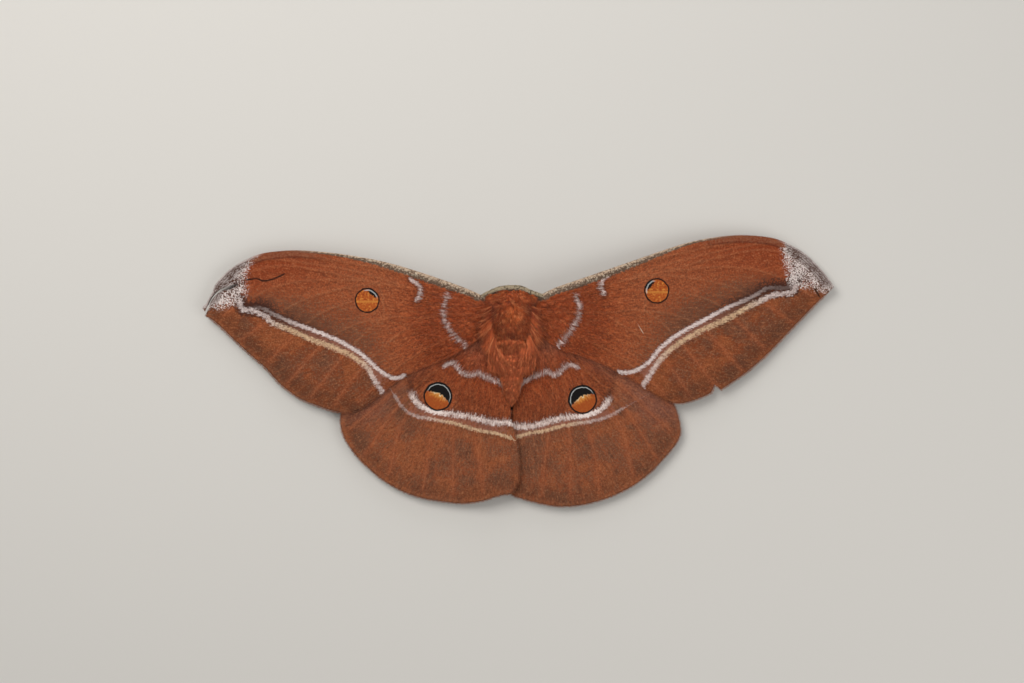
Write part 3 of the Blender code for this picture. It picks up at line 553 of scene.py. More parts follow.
def makeWing(name, material):
    # a fine double-faced sheet with veins, pleats and a thin edge, and its fields stored on it
    outline = fineOutline(name)
    low = outline.min(axis=0)
    high = outline.max(axis=0)
    step = wingBuild["grid"]
    columns, rows = np.meshgrid(np.arange(low[0], high[0], step),
                                np.arange(low[1], high[1], step * 0.866))
    columns = columns + (np.arange(columns.shape[0]) % 2)[:, None] * step / 2
    grid = np.column_stack([columns.ravel(), rows.ravel()])
    grid = grid[insideOutline(grid, outline)]
    grid = grid[lineField(grid, np.vstack([outline, outline[:1]]))[0] > step * 0.6]
    flat = np.vstack([outline, grid])
    count = len(outline)
    edges = [(k, (k + 1) % count) for k in range(count)]
    flat, _, triangles, _, _, _ = delaunay_2d_cdt([Vector(spot) for spot in flat], edges, [], 1, 1e-5)
    spots = np.array([spot[:] for spot in flat])
    triangles = np.array(triangles)
    fields = wingFields(name, spots, outline)

    middle = sheetHeight(name, spots[:, 0], spots[:, 1])
    if name.startswith("forewing"):
        droop = wingBuild["rearDroop"] * smoothStep(4.0, 0.0, fields["edge"])
        middle -= droop * smoothStep(0.8, 4.0, fields["front"])
    taper = smoothStep(0.0, wingBuild["edgeTaper"], fields["edge"])
    half = (wingBuild["edgeThickness"]
            + (wingBuild["thickness"] - wingBuild["edgeThickness"]) * taper) / 2
    ridge = wingBuild["veinHeight"] * np.exp(-(fields["vein"] / wingBuild["veinWidth"]) ** 2) * taper
    pleat = wingBuild["pleat"] * smoothStep(0.0, 2.2, fields["vein"]) * taper
    top = np.column_stack([spots, middle + half + ridge - pleat])
    bottom = np.column_stack([spots, middle - half - ridge * 0.7 - pleat])

    total = len(spots)
    flipped = triangles[:, ::-1] + total
    around = np.vstack([triangles[:, pair] for pair in ([0, 1], [1, 2], [2, 0])])
    seen = set(map(tuple, around.tolist()))
    rim = [edge for edge in seen if (edge[1], edge[0]) not in seen]
    sides = [(b, a, a + total, b + total) for a, b in sorted(rim)]
    faces = triangles.tolist() + flipped.tolist() + sides
    mesh = meshFrom(name + "_vane", np.vstack([top, bottom]), faces)
    storeTwice(mesh, fields)
    storeFields(mesh, under=np.repeat([0.0, 1.0], total))
    piece = newPiece(name + "_vane", mesh, material, "wing", name)
    print("stage:", name, len(faces), "faces")
    return piece


# Colours of the scales, as they look on screen.
tones = namedTones({
    "discBrown": (128, 68, 42), "discRed": (156, 80, 46), "apexOrange": (131, 52, 22),
    "dust": (86, 61, 48), "forewingBrown": (118, 64, 37), "forewingRed": (134, 64, 33),
    "hindwingBrown": (131, 78, 52), "hindwingRed": (149, 79, 48), "fieldGrey": (98, 71, 56),
    "edgeOrange": (132, 80, 54), "dark": (66, 38, 30), "lilac": (222, 206, 202),
    "lilacHair": (238, 222, 216), "cream": (220, 188, 152), "frost": (222, 210, 206),
    "frostDark": (70, 50, 42), "costaCream": (194, 168, 144), "costaDark": (62, 39, 28),
    "mauve": (134, 86, 72), "pink": (148, 96, 80), "baseOrange": (176, 80, 38),
    "fleckLight": (196, 132, 92), "fleckDark": (82, 46, 32), "black": (20, 18, 18),
    "arc": (186, 190, 190), "spotOrange": (170, 83, 34), "spotYellow": (214, 146, 66),
    "spotDeep": (138, 62, 26), "glow": (226, 206, 166), "underBrown": (150, 96, 70),
    "spotRim": (160, 78, 33), "mottle": (78, 52, 40), "warm": (152, 86, 50), "margin": (88, 54, 37),
    "discMiddleAndLight": (214, 122, 84), "ray": (158, 82, 50), "veinLight": (178, 104, 66),
    "apexDust": (120, 84, 64), "tipStripe": (72, 50, 44), "costaLight": (226, 214, 190),
    "crack": (34, 20, 16), "scratch": (206, 186, 164), "strandLight": (192, 112, 68),
})


def combed(paint, distance, width, comb, ragged=0.9):
    # a line that is full in its middle and breaks up into hairs at its edges
    level = 1.0 - abs(distance) * (1.0 / width)
    level = level + (comb - 0.5) * ragged
    return paint.rise(level, 0.0, 0.75)


def dusted(paint, share, grain, soft=0.3):
    # a zone that fades out in single scales instead of an even blend
    level = share * (1.0 + soft) - (1.0 + soft / 2)
    return paint.rise(grain + level, -soft / 2, soft / 2)


def paintSpot(paint, wing, colour, kind, grain):
    # the eyespot: a ringed window with its dark crescent turned up and towards the body
    turn = math.radians(wing["spotTurn"])
    x = paint.field("spotX")
    y = paint.field("spotY")
    uneven = paint.noise(1.0, 2.0, 0.6, paint.vector(x * 2.2, y * 2.2, wing["spotTurn"]))
    radius = paint.math('SQRT', x * x + y * y)
    radius = radius + (uneven - 0.5) * 0.14
    up = x * math.cos(turn) + y * math.sin(turn)
    across = x * -math.sin(turn) + y * math.cos(turn)
    flame = paint.noise(1.0, 2.0, 0.6, paint.vector(across * 8.0, up * 1.6, 5.0))
    fleck = paint.noise(1.0, 2.0, 0.6, paint.vector(x * 5.0, y * 5.0, 9.0))
    window = paint.mix(paint.rise(fleck, 0.5, 0.68) * 0.75, tones["spotOrange"], tones["spotYellow"])
    window = paint.mix(paint.rise(fleck, 0.47, 0.34), window, tones["spotDeep"])
    window = paint.mix(paint.rise(grain, 0.3, 0.9) * 0.4, window, tones["spotOrange"])
    if kind == "hindwing":
        window = paint.mix(paint.rise(up, 0.25, -0.5) * 0.85, window, tones["spotRim"])
        bend = up + across * across * 0.3
        ragged = bend + (flame - 0.5) * 0.8
        middle = paint.rise(abs(across), 0.8, 0.1)
        window = paint.mix(paint.rise(ragged, -0.25, 0.12) * middle * 0.8, window, tones["spotYellow"])
        window = paint.mix(paint.rise(ragged, 0.04, 0.2) * middle, window, tones["glow"])
        edge = bend + (flame - 0.5) * 0.4
        window = paint.mix(paint.rise(edge, 0.17, 0.23), window, tones["black"])
        reach = paint.rise(up, -0.15, 0.3)
        arcInner, arcOuter, ring, shine = 0.8, 0.85, 0.88, 0.95
    else:
        vein = paint.rise(abs(y + 0.1), 0.14, 0.04)
        window = paint.mix(vein * 0.45, window, tones["spotYellow"])
        bite = up + (flame - 0.5) * 0.5
        dark = paint.rise(bite, 0.52, 0.62) * paint.rise(abs(across), 0.5, 0.3)
        window = paint.mix(dark, window, tones["black"])
        reach = paint.rise(up, 0.38, 0.62) * paint.rise(across, -0.6, -0.35)
        arcInner, arcOuter, ring, shine = 0.76, 0.86, 0.88, 0.7
    arc = paint.rise(radius, arcInner, arcInner + 0.04) * paint.rise(radius, arcOuter + 0.04, arcOuter)
    window = paint.mix(arc * reach * shine, window, tones["arc"])
    window = paint.mix(paint.rise(radius, ring, ring + 0.05), window, tones["black"])
    return paint.mix(paint.rise(radius, 1.06, 0.98), colour, window)


def paintGround(paint, kind, looks):
    # the disc inside the lines and the field beyond them, both of mixed single scales
    front = paint.field("front")
    grain = looks["grain"]
    disc = paint.mix(grain, tones["discBrown"], tones["discRed"])
    disc = paint.mix(paint.rise(looks["reach"], 27.0, 13.0) * 0.75, disc, tones["baseOrange"])
    outer = paint.mix(grain, tones[kind + "Brown"], tones[kind + "Red"])
    grey = dusted(paint, 0.12 + paint.rise(looks["cloud"], 0.3, 0.72) * 0.62, looks["speck"])
    outer = paint.mix(grey * 0.66, outer, tones["fieldGrey"])
    mottle = paint.rise(looks["patch"], 0.46, 0.66) * paint.rise(looks["cloud"], 0.42, 0.58) * 0.75
    outer = paint.mix(dusted(paint, mottle, grain) * 0.5, outer, tones["mottle"])
    warm = paint.rise(looks["cloud"], 0.5, 0.36) * 0.45
    outer = paint.mix(warm, outer, tones["warm"])
    margin = paint.field("outer")
    outer = paint.mix(paint.rise(margin, 5.0, 2.0) * paint.rise(margin, 0.5, 1.2) * 0.42, outer,
                      tones["margin"])
    outer = paint.mix(paint.rise(margin, 1.0, 0.2) * 0.6, outer, tones["edgeOrange"])
    if kind == "forewing":
        frontRun = paint.field("frontRun")
        apex = paint.rise(front, 11.0, 2.5) * paint.rise(frontRun, 0.35, 0.7)
        dusk = paint.rise(paint.field("field"), -13.0, -1.0) + apex * -0.9
        dusk = dusk * paint.rise(frontRun, 0.08, 0.4) * (0.3 + looks["cloud"])
        disc = paint.mix(dusted(paint, dusk, looks["speck"]) * 0.8, disc, tones["dust"])
        disc = paint.mix(apex * 0.75, disc, tones["apexOrange"])
    else:
        # the disc's own lighter orange near the body, made lighter still by painted light that offsets
        # the shade of the forewing and the flank hair
        disc = paint.mix(paint.rise(looks["reach"], 16.0, 10.0) * 0.8, disc, tones["discMiddleAndLight"])
        disc = paint.mix(paint.rise(front, 9.5, 5.0) * 0.85, disc, tones["mauve"])
        outer = paint.mix(paint.rise(front, 11.0, 3.0) * 0.7, outer, tones["mauve"])
    veinLine = paint.rise(paint.field("vein"), 0.36, 0.05)
    ray = paint.rise(paint.field("vein"), 1.1, 0.1)
    disc = paint.mix(veinLine * 0.14, disc, tones["fleckLight"])
    outer = paint.mix(ray * 0.3, outer, tones["ray"])
    outer = paint.mix(veinLine * 0.25, outer, tones["veinLight"])
    field = paint.field("field") + (looks["hair"] - 0.5) * 0.5
    return paint.mix(paint.rise(field, -0.25, 0.25), disc, outer)


lineWidths = {
    "forewing": {"cream": 0.66, "lilac": 0.5, "rim": 0.5, "basal": 0.46},
    "hindwing": {"cream": 0.44, "lilac": 0.64, "rim": 0.8, "basal": 0.5},
}


def paintLines(paint, kind, looks, colour):
    # the pale double line, the basal line and the dark dust on their inner side
    width = lineWidths[kind]
    rim = width["rim"]
    lilac = paint.field("lilac")
    cream = paint.field("cream")
    lilacRun = paint.field("lilacRun")
    grain = looks["grain"]
    comb = looks["comb"] * 0.65 + looks["speck"] * 0.55
    between = abs(lilac) + abs(cream)
    if kind == "forewing":
        shade = paint.rise(lilac, -3.4, -0.2) * paint.rise(lilac, 1.2, 0.2)
        shade = shade * paint.rise(lilacRun, 0.75, 0.0)
        colour = paint.mix(dusted(paint, shade * 0.85, looks["speck"]) * 0.85, colour, tones["dark"])
        band = paint.rise(between, 3.6, 2.2) * 0.8
        bandTone = paint.mix(paint.rise(lilacRun, 0.15, 0.6), tones["dark"], tones["pink"])
        colour = paint.mix(dusted(paint, band, grain) * 0.75, colour, bandTone)
        clear = 0.12 + paint.rise(lilacRun, 0.06, 0.5) * 0.85
    else:
        band = paint.rise(between, 3.6, 1.6) * 0.8
        colour = paint.mix(dusted(paint, band, grain) * 0.7, colour, tones["pink"])
        clear = paint.rise(lilacRun, 0.02, 0.1)
    dark = paint.rise(lilac, -rim - 0.5, -rim + 0.2) * paint.rise(lilac, 0.0, -0.25)
    colour = paint.mix(dark * 0.5, colour, tones["dark"])
    creamMask = combed(paint, cream, width["cream"], comb) * paint.rise(looks["speck"], -0.3, 0.45)
    creamRun = paint.field("creamRun")
    flare = paint.rise(creamRun, 0.55, 0.2)
    if kind == "hindwing":
        creamMask = creamMask * (0.45 + paint.rise(creamRun, 0.1, 0.5) * 0.55)
    else:
        flare = paint.math('MAXIMUM', paint.rise(creamRun, 0.72, 0.95), paint.rise(creamRun, 0.36, 0.16))
        creamMask = creamMask * (0.72 + grain * 0.4)
    creamTone = paint.mix(flare, tones["cream"], tones["lilac"])
    colour = paint.mix(creamMask * 0.85, colour, creamTone)
    lilacMask = combed(paint, lilac, width["lilac"], comb) * paint.rise(looks["speck"], -0.5, 0.3) * clear
    colour = paint.mix(lilacMask, colour, tones["lilac"] if kind == "forewing" else tones["lilacHair"])
    basal = paint.field("basal")
    colour = paint.mix(paint.rise(basal, 1.3, 0.4) * 0.3, colour, tones["dark"])
    inside = combed(paint, basal, width["basal"], comb)
    return paint.mix(inside * 0.82, colour, tones["lilac"])


def paintFront(paint, looks, colour):
    # the pale front band, the cell mark and the frosted tip of a forewing
    front = paint.field("front")
    frontRun = paint.field("frontRun")
    grain = looks["grain"]
    speck = looks["speck"]
    streak = paint.field("streak")
    colour = paint.mix(paint.rise(streak, 1.2, 0.3) * 0.45, colour, tones["dark"])
    colour = paint.mix(combed(paint, streak, 0.48, looks["comb"], 0.6) * 0.8, colour, tones["lilac"])

    apex = paint.rise(frontRun, 0.46, 0.6)
    edgeBand = paint.rise(front, 1.6, 1.0) * apex
    colour = paint.mix(dusted(paint, edgeBand * 0.7, speck) * 0.5, colour, tones["apexDust"])
    # painted shade of a groove along the front edge towards the tip
    grooveShade = paint.rise(abs(front - 1.4), 0.3, 0.08)
    colour = paint.mix(grooveShade * apex * 0.45, colour, tones["dark"])
    frost = paint.field("frost")
    tip = paint.rise(frost, -2.2, 1.2)
    colour = paint.mix(dusted(paint, tip, grain) * 0.8, colour, tones["frostDark"])
    share = 0.3 + paint.rise(looks["patch"], 0.36, 0.62) * 0.4
    share = paint.rise(frost, -2.6, 0.2) * share
    flecks = paint.rise(paint.noise(3800.0, 2.0, 0.7), 0.36, 0.64)
    colour = paint.mix(dusted(paint, share, flecks, 0.4) * 0.95, colour, tones["frost"])
    stripe = paint.rise(paint.noise(1.0, 1.0, 0.5, paint.vector(front * 4.5, 0.0, 0.0)), 0.46, 0.6)
    stripe = 0.45 + stripe * 0.5
    stripe = stripe * paint.rise(front, 2.3, 1.5) * paint.rise(frost, -1.2, 0.6)
    colour = paint.mix(stripe, colour, tones["tipStripe"])
    rimLight = paint.rise(front, 0.5, 0.15) * paint.rise(frost, -3.4, -1.0) * 0.35
    colour = paint.mix(rimLight, colour, tones["frost"])

    width = 0.4 + paint.rise(frontRun, 0.56, 0.16) * 1.15
    width = width - paint.rise(frontRun, 0.14, 0.0) * 0.25
    band = front / width
    rough = band + (grain - 0.5) * 0.3
    zone = paint.rise(rough, 1.15, 0.9) * paint.rise(frontRun, 0.66, 0.5)
    dust = dusted(paint, 0.38 + paint.rise(band, 0.15, 0.7) * 0.5, speck, 0.4)
    bandTone = paint.mix(dust * 0.85, tones["costaCream"], tones["costaDark"])
    bandTone = paint.mix(paint.rise(grain, 0.7, 1.0) * 0.4, bandTone, tones["costaLight"])
    return paint.mix(zone, colour, bandTone)


def paintMarks(paint, wing, colour):
    # dark cracks and pale scratches, each a short line across the scales
    if "crack" in wing:
        colour = paint.mix(paint.rise(paint.field("crack"), 0.26, 0.1) * 0.95, colour, tones["crack"])
    if "scratch" in wing:
        colour = paint.mix(paint.rise(paint.field("scratch"), 0.14, 0.04) * 0.7, colour, tones["scratch"])
    return colour


def wingPaint(name):
    # scales of one wing, from the ground tones out to its marks
    wing = wings[name]
    kind = kindOf(name)
    paint = Paint(name + "_scales")
    fan = paint.field("fan")
    reach = paint.field("reach")
    along = paint.field("along")

    def radial(turns, run, seed):
        # streaks that run out from the body; evened out to spread over 0 to 1
        place = paint.vector(fan * turns, reach * run, seed)
        return paint.rise(paint.noise(1.0, 2.0, 0.6, place), 0.32, 0.68)

    looks = {
        "reach": reach, "hair": radial(48.0, 0.35, 0.0), "strand": radial(90.0, 0.5, 4.0),
        "comb": radial(wingBuild["combTurns"][kind], 1.2, 8.0),
        "cloud": paint.noise(190.0, 3.0, 0.55), "patch": paint.noise(460.0, 3.0, 0.6),
        "grain": paint.rise(paint.noise(2100.0, 2.0, 0.7), 0.33, 0.67),
        "speck": paint.rise(paint.noise(2900.0, 3.0, 0.8), 0.34, 0.66),
    }
    colour = paintGround(paint, kind, looks)
    # streaks of hair, strongest towards the body, and single light and dark scales
    silk = 0.3 + paint.rise(reach, 34.0, 12.0) * 0.5
    colour = paint.mix(paint.rise(looks["hair"], 0.5, 0.0) * silk * 0.5, colour, tones["fleckDark"])
    colour = paint.mix(paint.rise(looks["strand"], 0.6, 1.0) * silk * 0.6, colour, tones["strandLight"])
    colour = paint.mix(paint.rise(looks["speck"], 0.7, 1.0) * 0.34, colour, tones["fleckLight"])
    colour = paint.mix(paint.rise(looks["speck"], 0.3, 0.0) * 0.55, colour, tones["fleckDark"])
    colour = paintLines(paint, kind, looks, colour)
    if kind == "forewing":
        colour = paintFront(paint, looks, colour)
    colour = paintMarks(paint, wing, colour)
    colour = paintSpot(paint, wing, colour, kind, looks["grain"])
    colour = paint.mix(paint.field("under"), colour, paint.mix(0.5, colour, tones["underBrown"]))
    # hairs catch the light, most at their tips
    bright = paint.nodes.new("ShaderNodeHueSaturation")
    paint.plug(bright.inputs["Color"], colour)
    lit = paint.rise(along, 0.0, 0.25) * 0.16 + along * 0.26
    varied = (paint.field("draw") - 0.4) * paint.rise(along, 0.0, 0.1) * 0.42
    paint.plug(bright.inputs["Value"], 1.0 + lit + varied)
    relief = looks["hair"] * 0.35 + looks["strand"] * 0.35 + looks["speck"] * 0.25 + looks["patch"] * 1.2
    paint.bump(relief, 0.5, 0.0002)
    return paint.finish(bright.outputs[0], 0.85, 0.06)


wingPieces = {name: makeWing(name, wingPaint(name)) for name in wings}
print("stage: wings done")


# Coats: tufts of thin blades, set on a carrier by Geometry Nodes along its "flow".
def tuftShape(name, tuft):
    # a few thin blades from one root that lean towards +Y and bend over
    draw = np.random.default_rng(tuft["seed"])
    points, faces, along, patch = [], [], [], []
    for _ in range(tuft["strands"]):
        yaw = draw.uniform(-1.0, 1.0) * tuft["spread"]
        length = tuft["length"] * draw.uniform(0.72, 1.0)
        start = draw.uniform(-1.0, 1.0, 2) * tuft["width"] * 1.4
        curl = draw.uniform(-1.0, 1.0) * tuft["curl"]
        base = len(points)
        for share, girth in tuft.get("profile", ((0.0, 0.8), (0.3, 1.0), (0.66, 0.7), (1.0, 0.0))):
            bend = yaw + curl * share
            middle = np.array([start[0] + math.sin(bend) * length * share,
                               start[1] + math.cos(bend) * length * share,
                               tuft["rise"] * math.sin(share * math.pi * 0.7)])
            for corner in range(3 if girth else 1):
                turn = math.radians(90 + 120 * corner)
                reach = tuft["width"] / 2 * girth
                points.append(middle + reach * np.array([math.cos(turn), 0.0, math.sin(turn) * 0.6]))
                along.append(share)
                patch.append((0.5 * math.cos(turn) * girth, share - 0.5, 0.0))
        faces.append((base + 2, base + 1, base))
        tip = len(points) - 1
        for ring in range(base, tip - 3, 3):
            for corner in range(3):
                ahead = (corner + 1) % 3
                faces.append((ring + corner, ring + ahead, ring + 3 + ahead, ring + 3 + corner))
        for corner in range(3):
            faces.append((tip - 3 + corner, tip - 3 + (corner + 1) % 3, tip))
    mesh = closedMesh(name, points, faces)
    storeFields(mesh, along=along, patch=patch)
    return bpy.data.objects.new(name, mesh)


def coatTree(name, scattered):
    # tufts on random places of the carrier's faces, or on each of its points
    tree = bpy.data.node_groups.new(name, 'GeometryNodeTree')
    tree.interface.new_socket(name="Carrier", in_out='INPUT', socket_type='NodeSocketGeometry')
    inputs = {"Tuft": 'NodeSocketObject', "Density": 'NodeSocketFloat', "Yaw": 'NodeSocketFloat',
              "Lift": 'NodeSocketFloat', "Lift Spread": 'NodeSocketFloat', "Smallest": 'NodeSocketFloat',
              "Largest": 'NodeSocketFloat', "Patch": 'NodeSocketFloat', "Seed": 'NodeSocketInt',
              "Finish": 'NodeSocketMaterial'}
    for label, kind in inputs.items():
        tree.interface.new_socket(name=label, in_out='INPUT', socket_type=kind)
    tree.interface.new_socket(name="Coat", in_out='OUTPUT', socket_type='NodeSocketGeometry')
    given = tree.nodes.new("NodeGroupInput").outputs

    def plug(socket, value):
        if isinstance(value, bpy.types.NodeSocket):
            tree.links.new(value, socket)
        else:
            socket.default_value = value

    def add(kind, plugs, **settings):
        node = tree.nodes.new(kind)
        for key, value in settings.items():
            setattr(node, key, value)
        for key, value in plugs.items():
            plug(node.inputs[key], value)
        return node.outputs

    def work(kind, first, second):
        return add("ShaderNodeMath", {0: first, 1: second}, operation=kind)[0]

    def stored(label, kind):
        return add("GeometryNodeInputNamedAttribute", {"Name": label}, data_type=kind)["Attribute"]

    def drawn(low, high, step):
        seed = work('ADD', given["Seed"], step)
        return add("FunctionNodeRandomValue", {2: low, 3: high, 8: seed}, data_type='FLOAT')[1]

    if scattered:
        thick = work('MULTIPLY', given["Density"], stored("thick", 'FLOAT'))
        roots = add("GeometryNodeDistributePointsOnFaces",
                    {"Mesh": given["Carrier"], "Density": thick, "Seed": given["Seed"]},
                    distribute_method='RANDOM')["Points"]
    else:
        roots = add("GeometryNodeMeshToPoints", {"Mesh": given["Carrier"]}, mode='VERTICES')["Points"]
    upright = add("FunctionNodeAlignRotationToVector", {"Vector": stored("out", 'FLOAT_VECTOR')},
                  axis='Z')[0]
    laid = add("FunctionNodeAlignRotationToVector",
               {"Rotation": upright, "Vector": stored("flow", 'FLOAT_VECTOR')}, axis='Y',
               pivot_axis='Z')[0]
    lifted = work('ADD', given["Lift"], work('MULTIPLY', drawn(-1.0, 1.0, 1), given["Lift Spread"]))
    yawed = work('MULTIPLY', drawn(-1.0, 1.0, 2), given["Yaw"])
    turn = add("ShaderNodeCombineXYZ", {0: lifted, 2: yawed})[0]
    posed = add("FunctionNodeRotateRotation", {"Rotation": laid, "Rotate By": turn},
                rotation_space='LOCAL')[0]
    thing = add("GeometryNodeObjectInfo", {"Object": given["Tuft"]},
                transform_space='ORIGINAL')["Geometry"]
    size = work('MULTIPLY', drawn(given["Smallest"], given["Largest"], 3), stored("long", 'FLOAT'))
    planted = add("GeometryNodeInstanceOnPoints",
                  {"Points": roots, "Instance": thing, "Rotation": posed, "Scale": size})["Instances"]
    marked = add("GeometryNodeStoreNamedAttribute",
                 {"Geometry": planted, "Name": "draw", "Value": drawn(0.0, 1.0, 4)},
                 data_type='FLOAT', domain='INSTANCE')["Geometry"]
    real = add("GeometryNodeRealizeInstances", {"Geometry": marked})["Geometry"]
    scaled = add("ShaderNodeVectorMath", {0: stored("patch", 'FLOAT_VECTOR'), "Scale": given["Patch"]},
                 operation='SCALE')[0]
    place = add("ShaderNodeVectorMath", {0: stored("rootMap", 'FLOAT_VECTOR'), 1: scaled},
                operation='ADD')[0]
    mapped = add("GeometryNodeStoreNamedAttribute", {"Geometry": real, "Name": "OFBake", "Value": place},
                 data_type='FLOAT2', domain='CORNER')["Geometry"]
    coat = add("GeometryNodeSetMaterial", {"Geometry": mapped, "Material": given["Finish"]})["Geometry"]
    plug(tree.nodes.new("NodeGroupOutput").inputs[0], coat)
    return tree


coatTrees = {"scattered": coatTree("scattered_tufts", True), "set": coatTree("set_tufts", False)}


def growCoat(name, carrier, coat, finish, slot, scattered=True):
    # runs the coat tree on a carrier mesh and keeps the result as a plain mesh piece
    tuft = tuftShape(name + "_tuft", coat)
    holder = addObject(name + "_carrier", carrier)
    tree = coatTrees["scattered" if scattered else "set"]
    modifier = holder.modifiers.new("coat", 'NODES')
    modifier.node_group = tree
    values = {"Tuft": tuft, "Density": coat.get("density", 0.0) / mm ** 2,
              "Yaw": math.radians(coat["yaw"]),
              "Lift": math.radians(coat["lift"]), "Lift Spread": math.radians(coat["liftSpread"]),
              "Smallest": coat["smallest"], "Largest": 1.0, "Patch": 0.003, "Seed": coat["seed"],
              "Finish": finish}
    for item in tree.interface.items_tree:
        if item.in_out == 'INPUT' and item.name in values:
            modifier[item.identifier] = values[item.name]
    grown = plainMesh(holder)
    bpy.data.objects.remove(tuft)
    for key in ("out", "flow", "thick", "long", "rootMap", "patch"):
        if key in grown.attributes:
            grown.attributes.remove(grown.attributes[key])
    spots = vertexSpots(grown)
    spots[:, 2] = np.maximum(spots[:, 2], 0.02)
    grown.vertices.foreach_set("co", (spots * mm).ravel())
    grown.uv_layers.active = grown.uv_layers["OFBake"]
    grown.shade_smooth()
    grown.name = name
    newPiece(name, grown, None, slot)
    print("stage:", name, sum(len(face.vertices) - 2 for face in grown.polygons), "triangles")


def vertexNormals(mesh):
    normals = np.empty(len(mesh.vertices) * 3, np.float32)
    mesh.vertex_normals.foreach_get("vector", normals)
    return normals.reshape(-1, 3)


def layFlow(mesh, flow):
    # stores the normals and the flow laid flat against the surface
    out = vertexNormals(mesh)
    flat = flow - out * (flow * out).sum(axis=1)[:, None]
    flat /= np.maximum(np.linalg.norm(flat, axis=1), 1e-6)[:, None]
    storeFields(mesh, out=out, flow=flat)


def unwrapOwnShape(mesh):
    # an unwrap of the carrier's own surface, kept as the place of each tuft's patch
    holder = addObject("unwrap", mesh)
    bpy.context.view_layer.objects.active = holder
    holder.select_set(True)
    bpy.ops.object.mode_set(mode='EDIT')
    bpy.ops.mesh.select_all(action='SELECT')
    bpy.ops.uv.smart_project(angle_limit=math.radians(66), island_margin=0.01)
    bpy.ops.object.mode_set(mode='OBJECT')
    corners = np.empty(len(mesh.loops) * 2, np.float32)
    mesh.uv_layers.active.uv.foreach_get("vector", corners)
    while mesh.uv_layers:
        mesh.uv_layers.remove(mesh.uv_layers[0])
    storeFields(mesh, 'CORNER', rootMap=corners.reshape(-1, 2))
    bpy.data.objects.remove(holder)


# Flesh: each row is y, bottom z, top z and half width, as in the solids.
flesh = {
    "thorax": [(16.6, 8.2, 8.9, 1.5), (16.1, 7.4, 9.4, 2.8), (15.2, 6.8, 9.8, 3.7),
               (14.2, 6.5, 10.1, 4.1), (13.3, 4.0, 10.2, 4.3), (12.3, 3.1, 10.2, 4.3),
               (10.4, 3.1, 10.2, 4.3), (8.6, 3.3, 10.0, 4.1), (7.5, 3.6, 9.6, 3.8), (6.9, 4.0, 9.2, 3.4),
               (5.6, 4.4, 8.6, 2.4)],
    "inset": 0.3, "voxel": 0.16, "segments": 7, "segmentDip": 0.04,
    "abdomenFront": 7.4, "abdomenRear": -6.6, "abdomenHalfWidth": 2.8, "abdomenHalfHeight": 2.5,
    "abdomenHeight": 6.5, "abdomenDrop": 0.8,
    "head": (-1.4, 15.4, 4.3), "headHalf": (1.55, 1.4, 1.6), "neck": (-1.4, 14.2, 5.9),
    "neckHalf": (1.7, 1.6, 1.7),
    "waist": (-1.4, 6.3, 6.6), "waistHalf": (3.0, 3.6, 2.52),
    "shoulder": (3.3, 14.5, 7.4), "shoulderHalf": (1.4, 1.2, 1.2), "smoothing": 8,
}


def ringShell(rings):
    sides = len(rings[0])
    points = [spot for ring in rings for spot in ring]
    faces = [(row * sides + k, row * sides + (k + 1) % sides, (row + 1) * sides + (k + 1) % sides,
              (row + 1) * sides + k) for row in range(len(rings) - 1) for k in range(sides)]
    faces.append(tuple(range(sides - 1, -1, -1)))
    faces.append(tuple(range((len(rings) - 1) * sides, len(rings) * sides)))
    return points, faces


def ovalRings(stations, sides=40):
    turns = np.linspace(0.0, math.tau, sides, endpoint=False)
    return [np.column_stack([body["axis"] + half * np.cos(turns), np.full(sides, y),
                             (low + high) / 2 + (high - low) / 2 * np.sin(turns)])
            for y, low, high, half in stations]


def tubeShell(path, radii, sides=12, flatness=1.0):
    # a closed tube along a path, with its own frame carried from ring to ring
    path = np.array(path, float)
    across = None
    rings = []
    for k, spot in enumerate(path):
        along = path[min(k + 1, len(path) - 1)] - path[max(k - 1, 0)]
        along = along / np.linalg.norm(along)
        if across is None:
            across = np.cross(along, (0.0, 0.0, 1.0))
        across = across - along * (across @ along)
        across /= np.linalg.norm(across)
        up = np.cross(across, along)
        turns = np.linspace(0.0, math.tau, sides, endpoint=False)
        rings.append(spot + radii[k]
                     * (np.cos(turns)[:, None] * across + flatness * np.sin(turns)[:, None] * up))
    return ringShell(rings)


def ballShell(middle, half, rows=16, sides=28):
    rings = []
    for row in range(1, rows):
        turn = math.pi * row / rows
        turns = np.linspace(0.0, math.tau, sides, endpoint=False)
        rings.append(np.column_stack([middle[0] + half[0] * math.sin(turn) * np.cos(turns),
                                      np.full(sides, middle[1] + half[1] * math.cos(turn)),
                                      middle[2] + half[2] * math.sin(turn) * np.sin(turns)]))
    return ringShell(rings)


def fusedSkin(name, shells, voxel, smoothing):
    # closed shells grown together into one even skin
    holder = addObject(name, closedMesh(name, *joinShells(shells)))
    remesh = holder.modifiers.new("remesh", 'REMESH')
    remesh.mode = 'VOXEL'
    remesh.voxel_size = voxel * mm
    smooth = holder.modifiers.new("smooth", 'SMOOTH')
    smooth.iterations = smoothing
    whole = plainMesh(holder)
    whole.shade_smooth()
    return whole


palp = {
    "root": (0.6, 16.1, 2.7),
    "steps": [(0, 0, 0.3), (0.1, 0.25, -0.5), (0.16, 0.55, -0.95), (0.16, 0.85, -1.25)],
    "girths": ([0, 0.4, 0.8, 1], [0.26, 0.34, 0.28, 0.12]),  # shares of its length, half widths
}


def palpPath(side):
    out, front, height = palp["root"]
    return [(body["axis"] + side * (out + x), front + y, height + z) for x, y, z in palp["steps"]]


